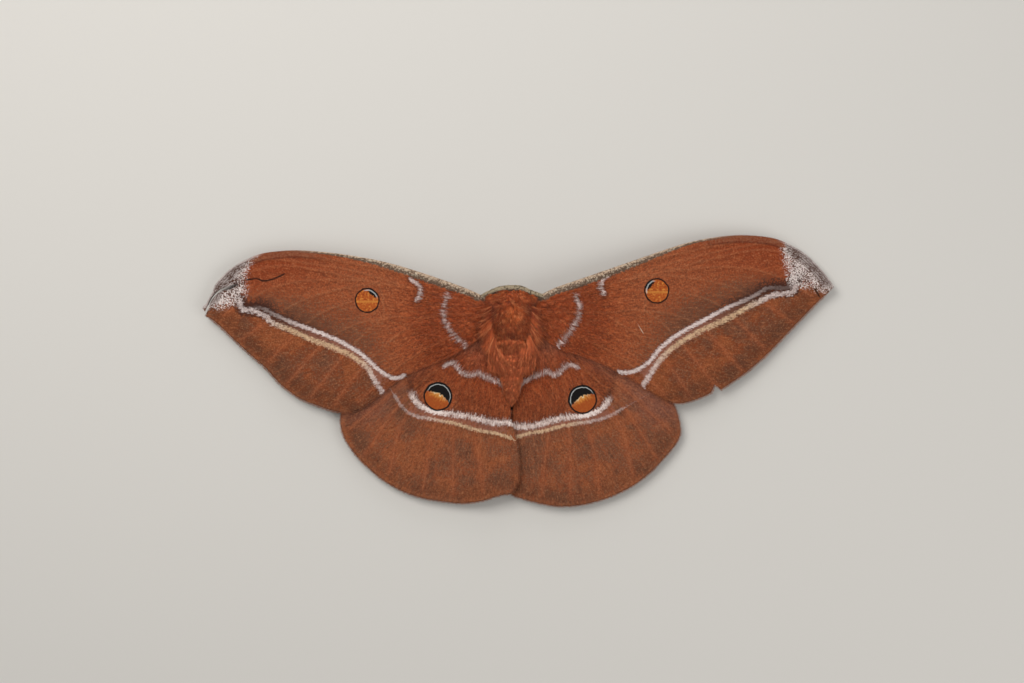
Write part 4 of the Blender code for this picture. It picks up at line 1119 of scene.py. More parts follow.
def makeFlesh():
    # one skin over thorax, abdomen, head, neck and palps
    inset = flesh["inset"]
    thorax = [(y, low + inset, high - inset, half - inset) for y, low, high, half in flesh["thorax"]]
    abdomen = []
    for share in np.linspace(0.0, 1.0, 57):
        taper = math.sqrt(max(0.02, 1.0 - share ** 1.35))
        dip = 1.0 - flesh["segmentDip"] * math.exp(-((share * flesh["segments"] + 0.5) % 1.0 - 0.5) ** 2
                                                   / 0.012)
        middle = flesh["abdomenHeight"] - flesh["abdomenDrop"] * share
        high = flesh["abdomenHalfHeight"] * taper * dip
        abdomen.append((flesh["abdomenFront"] + (flesh["abdomenRear"] - flesh["abdomenFront"]) * share,
                        middle - high, middle + high, flesh["abdomenHalfWidth"] * taper * dip))
    shells = [ringShell(ovalRings(thorax)), ringShell(ovalRings(abdomen)),
              ballShell(flesh["head"], flesh["headHalf"]), ballShell(flesh["neck"], flesh["neckHalf"]),
              ballShell(flesh["waist"], flesh["waistHalf"], 24, 36)]
    for side in (-1, 1):
        out, forward, height = flesh["shoulder"]
        shells.append(ballShell((body["axis"] + side * out, forward, height), flesh["shoulderHalf"]))
        path = smoothCurve(palpPath(side), 0.15)
        radii = np.interp(np.linspace(0, 1, len(path)), *palp["girths"])
        shells.append(tubeShell(path, radii))
    return fusedSkin("flesh", shells, flesh["voxel"], flesh["smoothing"])


furTones = namedTones({
    "furLow": (176, 86, 48), "furHigh": (204, 102, 56), "backDark": (190, 88, 44),
    "backLight": (220, 114, 58), "shoulder": (132, 52, 34), "creaseShade": (96, 44, 30),
    "belly": (168, 108, 74), "rear": (234, 128, 80), "tuftLight": (232, 152, 100),
    "tuftDark": (126, 54, 34), "rootShade": (120, 56, 34), "tipLight": (206, 132, 88),
    "paleTip": (216, 196, 184),
})


def furPaint(name):
    # orange fur: a little darker at its roots with painted shade and lighter at its tips with painted
    # light, with the marks of the back laid by place, painted shade in the crease before the abdomen and
    # painted light over the rear
    paint = Paint(name)
    x, y, z = paint.places()
    x = (x - body["axis"] * mm) * (1.0 / mm)
    y = y * (1.0 / mm)
    z = z * (1.0 / mm)
    draw = paint.field("draw")
    along = paint.field("along")

    def near(across, forward, reach, stretch=1.0):
        # 1 at a place on the back, 0 at its reach
        first = (x - across) * stretch
        second = y - forward
        away = paint.math('SQRT', first * first + second * second)
        return paint.rise(away, reach, reach * 0.25)

    mottle = paint.noise(420.0, 3.0, 0.6)
    colour = paint.mix(paint.rise(mottle, 0.35, 0.65), furTones["furLow"], furTones["furHigh"])
    colour = paint.mix(near(0.4, 13.0, 3.6) * 0.5, colour, furTones["backDark"])
    colour = paint.mix(near(0.5, 11.4, 2.7) * 0.9, colour, furTones["backLight"])
    for across, forward in ((4.0, 12.2), (-4.3, 11.9)):
        colour = paint.mix(near(across, forward, 2.0) * 0.6, colour, furTones["shoulder"])
    # painted shade in the crease where the thorax meets the abdomen
    creaseShade = near(0.2, 6.9, 0.9, 0.26) * paint.rise(z, 7.0, 8.0) * 0.2
    colour = paint.mix(creaseShade, colour, furTones["creaseShade"])
    colour = paint.mix(paint.rise(z, 5.6, 3.8) * 0.55, colour, furTones["belly"])
    # painted light: the rear of the body is made lighter to lift the shade among its dense hairs
    rear = paint.rise(y, 7.8, 2.0)
    colour = paint.mix(rear * 0.85, colour, furTones["rear"])
    colour = paint.mix(paint.rise(draw, 0.6, 0.95) * 0.5, colour, furTones["tuftLight"])
    colour = paint.mix(paint.rise(draw, 0.4, 0.05) * 0.5, colour, furTones["tuftDark"])
    # painted shade darkens the hairs at their roots, deep in the coat, and painted light brightens their
    # tips
    colour = paint.mix(paint.rise(along, 0.35, 0.0) * 0.25, colour, furTones["rootShade"])
    colour = paint.mix(paint.rise(along, 0.6, 1.0) * 0.22, colour, furTones["tipLight"])
    # where the long hairs end beside the abdomen their tips are pale, as the line on the wing
    line = y + abs(x) * -0.22
    pale = paint.rise(along, 0.5, 0.9) * paint.rise(line, -2.0, -3.4) * paint.rise(z, 5.4, 5.8)
    pale = pale * paint.rise(abs(x), 1.5, 2.2)
    colour = paint.mix(pale * 0.85, colour, furTones["paleTip"])
    strands = paint.noise(2600.0, 2.0, 0.6)
    paint.bump(strands, 0.5, 0.0002)
    return paint.finish(colour, 0.8, 0.06)


bodyFur = furPaint("body_fur_coat")
fleshMesh = makeFlesh()
newPiece("body_skin", fleshMesh.copy(), bodyFur, "body_fur",
         "thorax", "abdomen", "head", "palp_left", "palp_right")
print("stage: skin", len(fleshMesh.polygons), "faces")


def bodyFlow(spots):
    # which way the coat lies: out and back over the thorax, back along the abdomen, down the face
    x = spots[:, 0] - body["axis"]
    y = spots[:, 1]
    z = spots[:, 2]

    def lying(*parts):
        return np.column_stack([np.broadcast_to(part, len(x)) for part in parts])

    def over(first, share, second):
        return first * (1 - share[:, None]) + second * share[:, None]

    outward = np.clip(x / 3.2, -1.0, 1.0) * (0.15 + 0.85 * smoothStep(7.0, 13.5, y))
    flow = lying(outward, -(0.35 + 0.65 * smoothStep(13.0, 8.0, y)), 0.0)
    flow = over(flow, smoothStep(7.5, 5.0, y), lying(x * 0.06, -1.0, 0.0))
    under = smoothStep(6.0, 4.4, z) * smoothStep(5.0, 7.5, y)
    flow = over(flow, under, lying(x * 0.25, -1.0, 0.0))
    wave = np.sin(2.3 * x + 1.7 * np.sin(0.9 * y)) + np.sin(1.7 * y + 1.3 * x + 2.0)
    flow[:, 0] += 0.22 * wave * smoothStep(4.5, 7.5, y)
    face = smoothStep(6.6, 5.8, z) * smoothStep(13.6, 14.6, y)
    return over(flow, face, lying(x * 0.2, 0.35, -1.0))


shortProfile = ((0.0, 0.85), (0.5, 0.9), (1.0, 0.0))
bodyCoats = {
    "thorax_coat": {"density": 24.0, "strands": 5, "length": 2.3, "width": 0.1, "rise": 0.36,
                    "spread": 0.12, "curl": 0.25, "yaw": 9.0, "lift": 13.0, "liftSpread": 4.0,
                    "smallest": 0.7, "seed": 3, "profile": shortProfile},
    "breast_coat": {"density": 9.0, "strands": 4, "length": 2.6, "width": 0.13, "rise": 0.5,
                    "spread": 0.14, "curl": 0.25, "yaw": 12.0, "lift": 14.0, "liftSpread": 7.0,
                    "smallest": 0.7, "seed": 4, "profile": shortProfile},
    "flank_coat": {"strands": 6, "length": 7.4, "width": 0.1, "rise": 0.8, "spread": 0.07, "curl": 0.16,
                   "yaw": 8.0, "lift": -17.0, "liftSpread": 4.0, "smallest": 0.5, "seed": 5,
                   "clumps": 240, "front": 13.6, "run": 6.8, "out": 3.3, "height": 8.8,
                   "turn": (58.0, 46.0, 9.0)},
    "waist_coat": {"strands": 6, "length": 6.0, "width": 0.1, "rise": 1.2, "spread": 0.05, "curl": 0.1,
                   "yaw": 6.0, "lift": 4.0, "liftSpread": 5.0, "smallest": 0.65, "seed": 6, "clumps": 240,
                   "front": 6.6, "run": 5.0, "out": (2.6, 5.4), "height": 8.6, "inward": 0.34},
    "abdomen_coat": {"density": 22.0, "strands": 4, "length": 2.2, "width": 0.1, "rise": 0.3,
                     "spread": 0.14, "curl": 0.2, "yaw": 10.0, "lift": 9.0, "liftSpread": 5.0,
                     "smallest": 0.6, "seed": 7, "profile": shortProfile},
    "head_coat": {"density": 60.0, "strands": 4, "length": 0.9, "width": 0.07, "rise": 0.14,
                  "spread": 0.25, "curl": 0.3, "yaw": 20.0, "lift": 22.0, "liftSpread": 10.0,
                  "smallest": 0.6, "seed": 9, "profile": shortProfile},
}


def growBody():
    spots = vertexSpots(fleshMesh)
    y = spots[:, 1]
    z = spots[:, 2]
    layFlow(fleshMesh, bodyFlow(spots))
    unwrapOwnShape(fleshMesh)
    head = smoothStep(6.6, 6.0, z) * smoothStep(13.4, 13.9, y)
    thorax = smoothStep(0.5, 5.0, y) * (1 - head)
    upper = smoothStep(6.4, 7.0, z)
    marks = {
        "thorax_coat": (thorax * upper, 0.62 + 0.38 * smoothStep(16.5, 13.0, y)),
        "breast_coat": (thorax * (1 - upper), np.full(len(y), 0.6)),
        "abdomen_coat": (1 - smoothStep(5.6, 8.0, y), 0.6 + 0.4 * smoothStep(-6.5, -2.0, y)),
        "head_coat": (head, np.where(spots[:, 2] < 2.2, 0.6, 1.0)),
    }
    for name, (thick, long) in marks.items():
        carrier = fleshMesh.copy()
        storeFields(carrier, thick=thick, long=long)
        growCoat(name, carrier, bodyCoats[name], bodyFur, "body_fur")


def growSilk(name, roots, flow, share, long):
    # long silky tufts, each from its own root point
    mesh = meshFrom(name + "_roots", roots, [])
    storeUpright(mesh)
    side = np.sign(roots[:, 0] - body["axis"])
    storeFields(mesh, flow=flow, long=long,
                rootMap=np.column_stack([0.05 + 0.9 * share, 0.5 + 0.4 * side]))
    growCoat(name, mesh, bodyCoats[name], bodyFur, "body_fur", scattered=False)


def drawClumps(coat):
    # where along its run each clump stands, and on which side
    draw = np.random.default_rng(coat["seed"])
    share = draw.uniform(0.0, 1.0, coat["clumps"] * 2)
    return draw, share, np.where(np.arange(len(share)) % 2, 1.0, -1.0)


def growFlanks():
    # from the sides of the thorax, over the roots of all four wings
    coat = bodyCoats["flank_coat"]
    draw, share, side = drawClumps(coat)
    y = coat["front"] - coat["run"] * share
    out = coat["out"] + 0.7 * draw.uniform(0.0, 1.0, len(share)) - 0.5 * share
    z = coat["height"] - 0.6 * share + draw.uniform(-0.6, 0.3, len(share))
    turned, less, loose = coat["turn"]
    turn = np.radians(turned - less * share + draw.uniform(-loose, loose, len(share)))
    flow = np.column_stack([side * np.sin(turn), -np.cos(turn), np.zeros(len(share))])
    roots = np.column_stack([body["axis"] + side * out, y, z])
    growSilk("flank_coat", roots, flow, share, 0.55 + 0.45 * smoothStep(0.0, 0.5, share))


def growWaist():
    # from the hindwing roots, closing in over the abdomen
    coat = bodyCoats["waist_coat"]
    draw, share, side = drawClumps(coat)
    out = draw.uniform(*coat["out"], len(share)) - 0.6 * share
    y = coat["front"] - coat["run"] * share
    x = body["axis"] + side * out
    z = coat["height"] - 0.8 * (out - 2.0) - 0.9 * share
    wing = np.where(side < 0, sheetHeight("hindwing_left", x, y), sheetHeight("hindwing_right", x, y))
    z = np.maximum(z, wing + 0.5)
    inward = coat["inward"] - 0.06 * (out - coat["out"][0]) + draw.uniform(-0.08, 0.08, len(share))
    flow = np.column_stack([-side * inward, -np.ones(len(share)), np.zeros(len(share))])
    growSilk("waist_coat", np.column_stack([x, y, z]), flow, share, 1.0 - 0.35 * share)


growBody()
growFlanks()
growWaist()
print("stage: body coats done")


# Hair on the wings: long over the roots, lying out towards the margins, and a fringe round the edge.
wingCoats = {
    "forewing": {"density": 13.0, "strands": 4, "length": 2.8, "width": 0.11, "rise": 0.26, "spread": 0.1,
                 "curl": 0.2, "yaw": 9.0, "lift": 4.0, "liftSpread": 3.0, "smallest": 0.6, "seed": 21,
                 "profile": shortProfile},
    "hindwing": {"density": 12.0, "strands": 3, "length": 3.2, "width": 0.11, "rise": 0.3, "spread": 0.1,
                 "curl": 0.2, "yaw": 9.0, "lift": 4.0, "liftSpread": 3.0, "smallest": 0.6, "seed": 23,
                 "profile": shortProfile},
    "fringe": {"strands": 2, "length": 0.6, "width": 0.08, "rise": 0.05, "spread": 0.3, "curl": 0.3,
               "yaw": 16.0, "lift": -2.0, "liftSpread": 9.0, "smallest": 0.5, "seed": 25, "spacing": 0.11,
               "profile": shortProfile},
    "colourReach": 0.6,
}


def wingFlow(name, spots):
    # hair lies out from the body, and beside the abdomen it closes in over it
    side = sideOf(name)
    flow = spots - np.array([body["axis"] + side, wingBuild["rootShade"][kindOf(name)]])
    flow = flow / np.linalg.norm(flow, axis=1)[:, None]
    if name.startswith("hindwing"):
        beside = smoothStep(8.0, 3.0, np.abs(spots[:, 0] - body["axis"]))
        beside = beside * smoothStep(-5.0, 0.0, spots[:, 1])
        flow[:, 0] -= side * 0.75 * beside
    return np.column_stack([flow, np.zeros(len(spots))])


def readField(mesh, key):
    values = np.empty(len(mesh.vertices), np.float32)
    mesh.attributes[key].data.foreach_get("value", values)
    return values


def growWingHair(name, piece):
    kind = kindOf(name)
    carrier = piece.data.copy()
    spots = vertexSpots(carrier)
    reach = readField(carrier, "reach")
    top = 1.0 - readField(carrier, "under")
    lilac = np.exp(-(readField(carrier, "lilac") / 0.7) ** 2)
    lines = lilac + np.exp(-(readField(carrier, "cream") / 0.6) ** 2)
    field = readField(carrier, "field")
    coat = wingCoats[kind]
    spot = smoothStep(1.1, 1.35, np.hypot(readField(carrier, "spotX"), readField(carrier, "spotY")))
    if kind == "forewing":
        near = smoothStep(27.0, 12.0, reach)
        thick = np.maximum(near, 0.6 * np.clip(lines, 0, 1))
        long = np.where(near > 0.05, 0.3 + 0.7 * smoothStep(24.0, 7.0, reach), 0.3)
        costa = smoothStep(1.0, 2.6, readField(carrier, "front"))
        thick *= costa
    else:
        disc = smoothStep(0.4, -0.6, field)
        thick = np.maximum(disc, 0.7 * np.clip(lines, 0, 1))
        thick = np.maximum(thick, 0.16)
        long = np.where(disc > 0.3, 0.42 + 0.58 * smoothStep(17.0, 8.0, reach), 0.3)
    edge = readField(carrier, "edge")
    thick *= spot * smoothStep(0.1, 0.6, edge)
    if kind == "hindwing":
        # few hairs where the forewing covers them
        cover = fineOutline(name.replace("hind", "fore"))
        deep = smoothStep(0.8, 2.0, lineField(spots[:, :2], cover)[0])
        thick *= 1.0 - 0.85 * insideOutline(spots[:, :2], cover) * deep
    below = 0.5 * smoothStep(16.0, 8.0, reach) * smoothStep(1.5, 4.0, readField(carrier, "front"))
    long = np.maximum(long, 0.2)
    storeFields(carrier, thick=thick * top + below * (1 - top), long=long)
    flow = wingFlow(name, spots[:, :2])
    layFlow(carrier, flow)
    # a hair takes the colours of the place that it lies over, so that the lines stay where they are
    half = len(spots) // 2
    shift = flow[:half, :2] * (wingCoats["colourReach"] * coat["length"] * long[:half])[:, None]
    storeTwice(carrier, wingFields(name, spots[:half, :2] + shift, fineOutline(name)))
    # the sheet's own unwrap: upper face in one half of the map, lower face in the other
    low = spots[:, :2].min(axis=0)
    size = (spots[:, :2].max(axis=0) - low).max()
    flat = (spots[:, :2] - low) / size * 0.48
    flat[:, 1] += np.where(top > 0.5, 0.0, 0.5)
    storeFields(carrier, rootMap=flat)
    growCoat(name + "_hair", carrier, coat, piece.data.materials[0], "wing")


def growFringe(name, piece):
    outline = fineOutline(name)
    closed = np.vstack([outline, outline[:1]])
    edge = evenCurve(closed, wingCoats["fringe"]["spacing"])[:-1]
    run = np.roll(edge, -1, axis=0) - np.roll(edge, 1, axis=0)
    outward = np.column_stack([run[:, 1], -run[:, 0]]) / np.linalg.norm(run, axis=1)[:, None]
    if insideOutline(edge[:1] + outward[:1] * 0.05, outline)[0]:
        outward = -outward
    away = np.abs(edge[:, 0] - body["axis"])
    fields = wingFields(name, edge, outline)
    kept = (away > 5.6) | (edge[:, 1] < -8.0)
    long = np.ones(len(edge))
    if name.startswith("forewing"):
        long = 0.35 + 0.65 * smoothStep(0.5, 4.0, fields["front"])
    height = sheetHeight(name, edge[:, 0], edge[:, 1])
    mesh = meshFrom(name + "_edge", np.column_stack([edge, height])[kept], [])
    low = outline.min(axis=0)
    fields["under"] = np.zeros(len(edge))
    fields["long"] = long
    fields["flow"] = outward + 0.25 * wingFlow(name, edge)[:, :2]
    fields["rootMap"] = (edge - low) / (outline.max(axis=0) - low).max() * 0.98
    storeFields(mesh, **{key: values[kept] for key, values in fields.items()})
    storeUpright(mesh)
    growCoat(name + "_fringe", mesh, wingCoats["fringe"], piece.data.materials[0], "wing",
             scattered=False)


for wingName, wingPiece in wingPieces.items():
    growWingHair(wingName, wingPiece)
    growFringe(wingName, wingPiece)
print("stage: wing hair done")


# Collar: a roll of pale hair that runs on into the front edges of the forewings.
collar = {
    "line": [(-7.4, 15.1, 7.1), (-6.4, 15.55, 7.5), (-4.3, 16.35, 8.3), (-3.0, 16.6, 8.55),
             (-1.4, 16.7, 8.65), (0.5, 16.6, 8.55), (2.2, 15.9, 8.1), (3.8, 15.4, 7.5), (5.0, 15.1, 7.1)],
    "radius": 0.54, "tones": {"pale": (206, 188, 158), "light": (230, 218, 192)},
    "coat": {"density": 42.0, "strands": 3, "length": 0.5, "width": 0.08, "rise": 0.07, "spread": 0.25,
             "curl": 0.2, "yaw": 16.0, "lift": 16.0, "liftSpread": 8.0, "smallest": 0.6, "seed": 31,
             "profile": shortProfile},
}


def collarPaint():
    paint = Paint("collar_hair")
    hair = namedTones(collar["tones"])
    band = paint.field("band")
    speck = paint.noise(2300.0, 2.0, 0.6)
    colour = paint.mix(paint.rise(speck, 0.52, 0.62), hair["pale"], tones["costaDark"])
    colour = paint.mix(paint.rise(band, 0.0, -0.6) * 0.8, colour, tones["costaDark"])
    colour = paint.mix(paint.rise(paint.field("draw"), 0.4, 1.0) * 0.5, colour, hair["light"])
    paint.bump(speck, 0.4, 0.0002)
    return paint.finish(colour, 0.8, 0.2)


def makeCollar():
    path = smoothCurve(collar["line"], 0.3)
    share = np.linspace(0.0, 1.0, len(path))
    radii = collar["radius"] * (0.45 + 0.55 * np.sin(math.pi * share) ** 0.5)
    mesh = closedMesh("collar_roll", *tubeShell(path, radii, 14))
    spots = vertexSpots(mesh)
    nearest = np.array([path[np.argmin(np.linalg.norm(path - spot, axis=1))] for spot in spots])
    storeFields(mesh, band=(spots - nearest)[:, 1] / collar["radius"])
    finish = collarPaint()
    carrier = mesh.copy()
    layFlow(carrier, np.column_stack([spots[:, 0] * 0.03, np.full(len(spots), 0.5), np.ones(len(spots))]))
    unwrapOwnShape(carrier)
    storeFields(carrier, thick=np.ones(len(spots)), long=np.ones(len(spots)))
    newPiece("collar_roll", mesh, finish, "body_fur")
    growCoat("collar_coat", carrier, collar["coat"], finish, "body_fur")


makeCollar()
print("stage: collar done")


# Eyes: dark domes of many facets
eye = {"out": 1.72, "forward": 15.4, "height": 4.2, "half": (1.18, 1.34, 1.34), "facet": 0.08,
       "tones": {"gap": (26, 14, 10), "facet": (50, 26, 17), "glow": (84, 44, 24)}}


def eyePaint():
    paint = Paint("eye_facets")
    dark = namedTones(eye["tones"])
    cells = paint.nodes.new("ShaderNodeTexVoronoi")
    cells.inputs["Scale"].default_value = 1.0 / (eye["facet"] * mm)
    cells.inputs["Randomness"].default_value = 0.25
    paint.links.new(paint.place, cells.inputs["Vector"])
    dome = paint.rise(cells.outputs["Distance"], 0.65, 0.1)
    colour = paint.mix(dome, dark["gap"], dark["facet"])
    colour = paint.mix(paint.rise(paint.noise(700.0), 0.45, 0.65) * 0.5, colour, dark["glow"])
    paint.bump(dome, 0.2, 0.00004)
    paint.shader.inputs["Coat Weight"].default_value = 0.12
    paint.shader.inputs["Coat Roughness"].default_value = 0.12
    return paint.finish(colour, 0.24, specular=0.3)


def makeEyes():
    finish = eyePaint()
    for name, side in (("left", -1), ("right", 1)):
        middle = (body["axis"] + side * eye["out"], eye["forward"], eye["height"])
        mesh = closedMesh("eye_" + name, *ballShell(middle, eye["half"], 40, 64))
        newPiece("eye_" + name + "_dome", mesh, finish, "eye", "eye_" + name)


makeEyes()
print("stage: eyes done")


# Antennae: a shaft of short joints with two pairs of fine rays on each
antenna = {
    "root": (1.75, 15.3, 5.95),
    "steps": [(0.0, 0.0, 0.0), (1.8, -0.9, -0.7), (4.6, -1.8, -1.2), (8.2, -2.1, -1.6),
              (12.4, -1.4, -2.1)],
    "joints": 32, "shaft": (0.3, 0.13), "jointSwell": 0.14, "rayLength": 2.25, "rayLean": 28.0,
    "ray": {"strands": 1, "length": 1.0, "width": 0.1, "rise": 0.06, "spread": 0.0, "curl": 0.0,
            "yaw": 3.0, "lift": 0.0, "liftSpread": 3.0, "smallest": 0.94, "seed": 41},
    "tones": {"dark": (134, 86, 48), "light": (176, 122, 70), "tip": (196, 150, 100)},
}


def antennaPaint():
    paint = Paint("feeler_horn")
    horn = namedTones(antenna["tones"])
    grain = paint.noise(2400.0, 2.0, 0.6)
    colour = paint.mix(paint.rise(grain, 0.4, 0.65), horn["dark"], horn["light"])
    colour = paint.mix(paint.rise(paint.field("along"), 0.2, 1.0) * 0.5, colour, horn["tip"])
    paint.bump(grain, 0.4, 0.0001)
    return paint.finish(colour, 0.6)


def makeAntenna(name, side, finish):
    root = np.array([body["axis"] + side * antenna["root"][0], *antenna["root"][1:]])
    route = [root + np.array([side * x, y, z]) for x, y, z in antenna["steps"]]
    path = smoothCurve(route, 0.06)
    share = np.linspace(0.0, 1.0, len(path))
    swell = 1.0 + antenna["jointSwell"] * np.cos(share * antenna["joints"] * math.tau)
    radii = (antenna["shaft"][0] + (antenna["shaft"][1] - antenna["shaft"][0]) * share) * swell
    mesh = closedMesh("antenna_shaft_" + name, *tubeShell(path, radii, 10))
    newPiece("antenna_shaft_" + name, mesh, finish, "antenna", "antenna_" + name)
    spots, flows, longs = [], [], []
    lean = math.radians(antenna["rayLean"])
    for ray in range(antenna["joints"] * 2):
        place = 0.1 + 0.89 * ray / (antenna["joints"] * 2 - 1)
        k = round(place * (len(path) - 1))
        along = path[min(k + 3, len(path) - 1)] - path[k - 3]
        along /= np.linalg.norm(along)
        level = np.cross(along, (0, 0, 1))
        level /= np.linalg.norm(level)
        length = antenna["rayLength"] * (0.25 + 0.75 * math.sin(math.pi * (0.12 + 0.8 * place)))
        for turn in (-1, 1):
            droop = -0.1 if ray % 2 else -0.24
            spots.append(path[k])
            flows.append(level * turn * math.cos(lean) + along * math.sin(lean) + np.array([0, 0, droop]))
            longs.append(length * (0.9 if ray % 2 else 1.0))
    carrier = meshFrom("rays", spots, [])
    storeUpright(carrier)
    storeFields(carrier, flow=flows, long=longs,
                rootMap=np.column_stack([np.linspace(0.05, 0.95, len(spots)),
                                         np.tile((0.3, 0.7), len(spots) // 2)]))
    growCoat("antenna_rays_" + name, carrier, antenna["ray"], finish, "antenna", scattered=False)


antennaHorn = antennaPaint()
for sideName, sideSign in (("left", -1), ("right", 1)):
    makeAntenna(sideName, sideSign, antennaHorn)
print("stage: antennae done")


# Legs: root, trochanter, knee, ankle and toe, out from the body axis, along +Y and up
legs = {
    "foreleg": [(1.5, 12.6, 3.4), (2.9, 13.7, 1.9), (6.4, 14.2, 2.8), (9.2, 15.2, 0.7),
                (12.9, 16.0, 0.26)],
    "midleg": [(2.2, 10.6, 3.4), (3.8, 10.5, 1.9), (8.2, 9.6, 3.2), (12.0, 8.8, 0.75), (16.4, 7.8, 0.26)],
    "hindleg": [(2.0, 8.9, 3.4), (3.4, 7.6, 1.9), (7.2, 3.4, 2.8), (9.8, -2.0, 0.75), (11.8, -7.2, 0.26)],
    "girths": [(0.72, 0.52), (0.5, 0.44), (0.4, 0.3)], "tarsus": 5, "tarsusGirth": (0.24, 0.19),
    "voxel": 0.085,
    "claw": 0.62, "clawGirth": (0.075, 0.015),
    "tones": {"dark": (124, 66, 40), "light": (164, 98, 60), "tip": (206, 156, 108), "root": (72, 36, 22),
              "claw": (40, 26, 20), "clawLight": (74, 48, 34)},
    "coat": {"density": 17.0, "strands": 3, "length": 1.2, "width": 0.09, "rise": 0.16, "spread": 0.22,
             "curl": 0.3, "yaw": 18.0, "lift": 16.0, "liftSpread": 9.0, "smallest": 0.6, "seed": 51,
             "profile": shortProfile},
}


legTones = namedTones(legs["tones"])


def legPaint():
    paint = Paint("leg_fur_coat")
    mottle = paint.noise(900.0, 3.0, 0.6)
    colour = paint.mix(paint.rise(mottle, 0.35, 0.65), legTones["dark"], legTones["light"])
    colour = paint.mix(paint.rise(paint.field("draw"), 0.5, 1.0) * 0.5, colour, legTones["tip"])
    # painted shade darkens the leg hairs at their roots, deep in the coat
    colour = paint.mix(paint.rise(paint.field("along"), 0.5, 0.0) * 0.4, colour, legTones["root"])
    paint.bump(paint.noise(3000.0, 2.0, 0.6), 0.5, 0.0001)
    return paint.finish(colour, 0.78, 0.2)


def legSegments(name, side):
    # each segment as its path and its girth along it, the tarsus in five short joints
    joints = [np.array([body["axis"] + side * x, y, z]) for x, y, z in legs[name]]
    segments = []
    for index, (thick, thin) in enumerate(legs["girths"]):
        path = np.linspace(joints[index], joints[index + 1], 15)
        share = np.linspace(0.0, 1.0, 15)
        girth = (thick + (thin - thick) * share) * (0.8 + 0.25 * np.sin(math.pi * share))
        segments.append((path, girth))
    for joint in range(legs["tarsus"]):
        ends = [joints[3] + (joints[4] - joints[3]) * (joint + step) / legs["tarsus"]
                for step in (0.0, 0.96)]
        path = np.linspace(*ends, 9)
        share = np.linspace(0.0, 1.0, 9)
        thick, thin = legs["tarsusGirth"]
        girth = (thick + (thin - thick) * joint / 4) * (0.72 + 0.36 * share ** 1.5)
        segments.append((path, girth))
    return segments


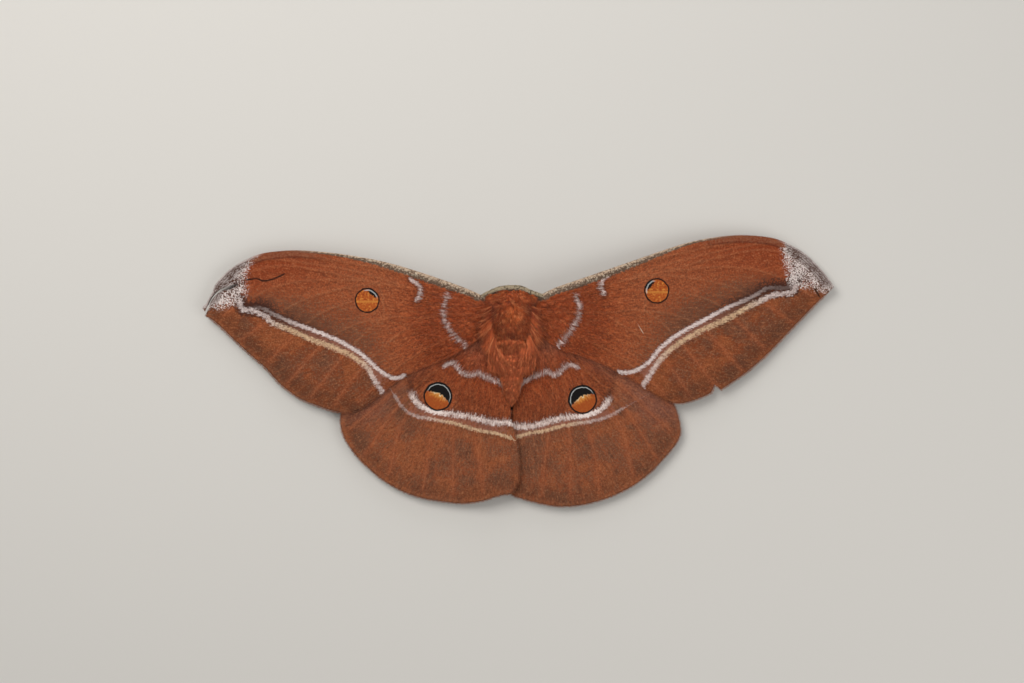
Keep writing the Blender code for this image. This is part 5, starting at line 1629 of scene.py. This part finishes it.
def makeLegs():
    finish = legPaint()
    horn = Paint("claw_horn")
    clawTone = horn.mix(horn.rise(horn.noise(2000.0), 0.4, 0.6), legTones["claw"], legTones["clawLight"])
    horn.bump(horn.noise(5000.0), 0.3, 0.00005)
    clawFinish = horn.finish(clawTone, 0.35, specular=0.5)
    shells, flows, longs = [], [], []
    claws = []
    for name in ("foreleg", "midleg", "hindleg"):
        for sideName, side in (("left", -1), ("right", 1)):
            segments = legSegments(name, side)
            mesh = fusedSkin(name, [tubeShell(path, girth) for path, girth in segments], legs["voxel"], 2)
            spots = vertexSpots(mesh)
            spots[:, 2] = np.maximum(spots[:, 2], 0.0)
            mesh.vertices.foreach_set("co", (spots * mm).ravel())
            mesh.update()
            newPiece(name + "_" + sideName + "_skin", mesh, finish, "leg", name + "_" + sideName)
            whole = np.vstack([path for path, _ in segments])
            way = np.gradient(whole, axis=0)
            near = np.array([np.argmin(((whole - spot) ** 2).sum(axis=1)) for spot in spots])
            flows.append(way[near])
            longs.append(np.where(near < 45, 1.0, 0.42) * smoothStep(0.12, 0.5, spots[:, 2]))
            shells.append((spots, [face.vertices[:] for face in mesh.polygons]))
            toe, before = segments[-1][0][-1], segments[-1][0][-4]
            ahead = (toe - before) / np.linalg.norm(toe - before)
            across = np.cross(ahead, (0, 0, 1))
            for turn in (-1, 1):
                way = ahead + across * turn * 0.5
                share = np.linspace(0.0, 1.0, 7)[:, None]
                arch = 0.16 * np.sin(share * 3.4) - 0.1
                hook = toe + way * share * legs["claw"] + np.array([0, 0, 1.0]) * arch
                hook[:, 2] = np.maximum(hook[:, 2], 0.07)
                claws.append(tubeShell(hook, np.linspace(*legs["clawGirth"], 7), 8))
    newPiece("claws", closedMesh("claws", *joinShells(claws)), clawFinish, "leg")
    carrier = meshFrom("leg_carrier", *joinShells(shells))
    layFlow(carrier, np.vstack(flows))
    unwrapOwnShape(carrier)
    longs = np.concatenate(longs)
    thick = np.where(longs > 0.25, np.where(longs > 0.6, 1.0, 1.6), 0.0)
    storeFields(carrier, thick=thick, long=longs)
    growCoat("leg_coat", carrier, legs["coat"], finish, "leg")


makeLegs()
print("stage: legs done")


# Camera straight above, floor and soft light
def makeStage():
    look = {"height": 353.8, "lens": 60.0, "middle": (-1.30, 6.0), "floorHalf": 900.0,
            "floorTone": (214, 212, 208), "roomTone": (0.98, 0.97, 0.95, 1.0), "roomLight": 0.3}
    camera = addObject("camera", bpy.data.cameras.new("camera"))
    camera.data.lens = look["lens"]
    camera.data.sensor_width = 36.0
    camera.data.clip_start = 0.01
    camera.location = (look["middle"][0] * mm, look["middle"][1] * mm, look["height"] * mm)
    bpy.context.scene.camera = camera

    half = look["floorHalf"]
    corners = [(-half, -half, 0), (half, -half, 0), (half, half, 0), (-half, half, 0)]
    floor = addObject("floor", meshFrom("floor", corners, [(0, 1, 2, 3)]))
    paint = Paint("pale_floor")
    floor.data.materials.append(paint.finish(tone(*look["floorTone"]), 0.9))

    lights = {
        "key": {"place": (-160, 190, 330), "size": 260, "power": 1.0, "tint": (1.0, 0.97, 0.93)},
        "fill": {"place": (240, -120, 260), "size": 300, "power": 0.4, "tint": (1.0, 0.98, 0.95)},
        "back": {"place": (40, 330, 120), "size": 200, "power": 0.22, "tint": (1.0, 1.0, 1.0)},
    }
    for name, light in lights.items():
        lamp = bpy.data.lights.new(name, 'AREA')
        lamp.shape = 'DISK'
        lamp.size = light["size"] * mm
        lamp.energy = light["power"]
        lamp.color = light["tint"]
        holder = addObject(name, lamp)
        holder.location = Vector(light["place"]) * mm
        holder.rotation_euler = (-holder.location).to_track_quat('-Z', 'Y').to_euler()
    world = bpy.data.worlds.new("room")
    world.use_nodes = True
    world.node_tree.nodes["Background"].inputs["Color"].default_value = look["roomTone"]
    world.node_tree.nodes["Background"].inputs["Strength"].default_value = look["roomLight"]
    bpy.context.scene.world = world
    bpy.context.scene.view_settings.view_transform = 'Standard'


makeStage()
print("stage: camera, floor and lights done")

bpy.context.view_layer.update()
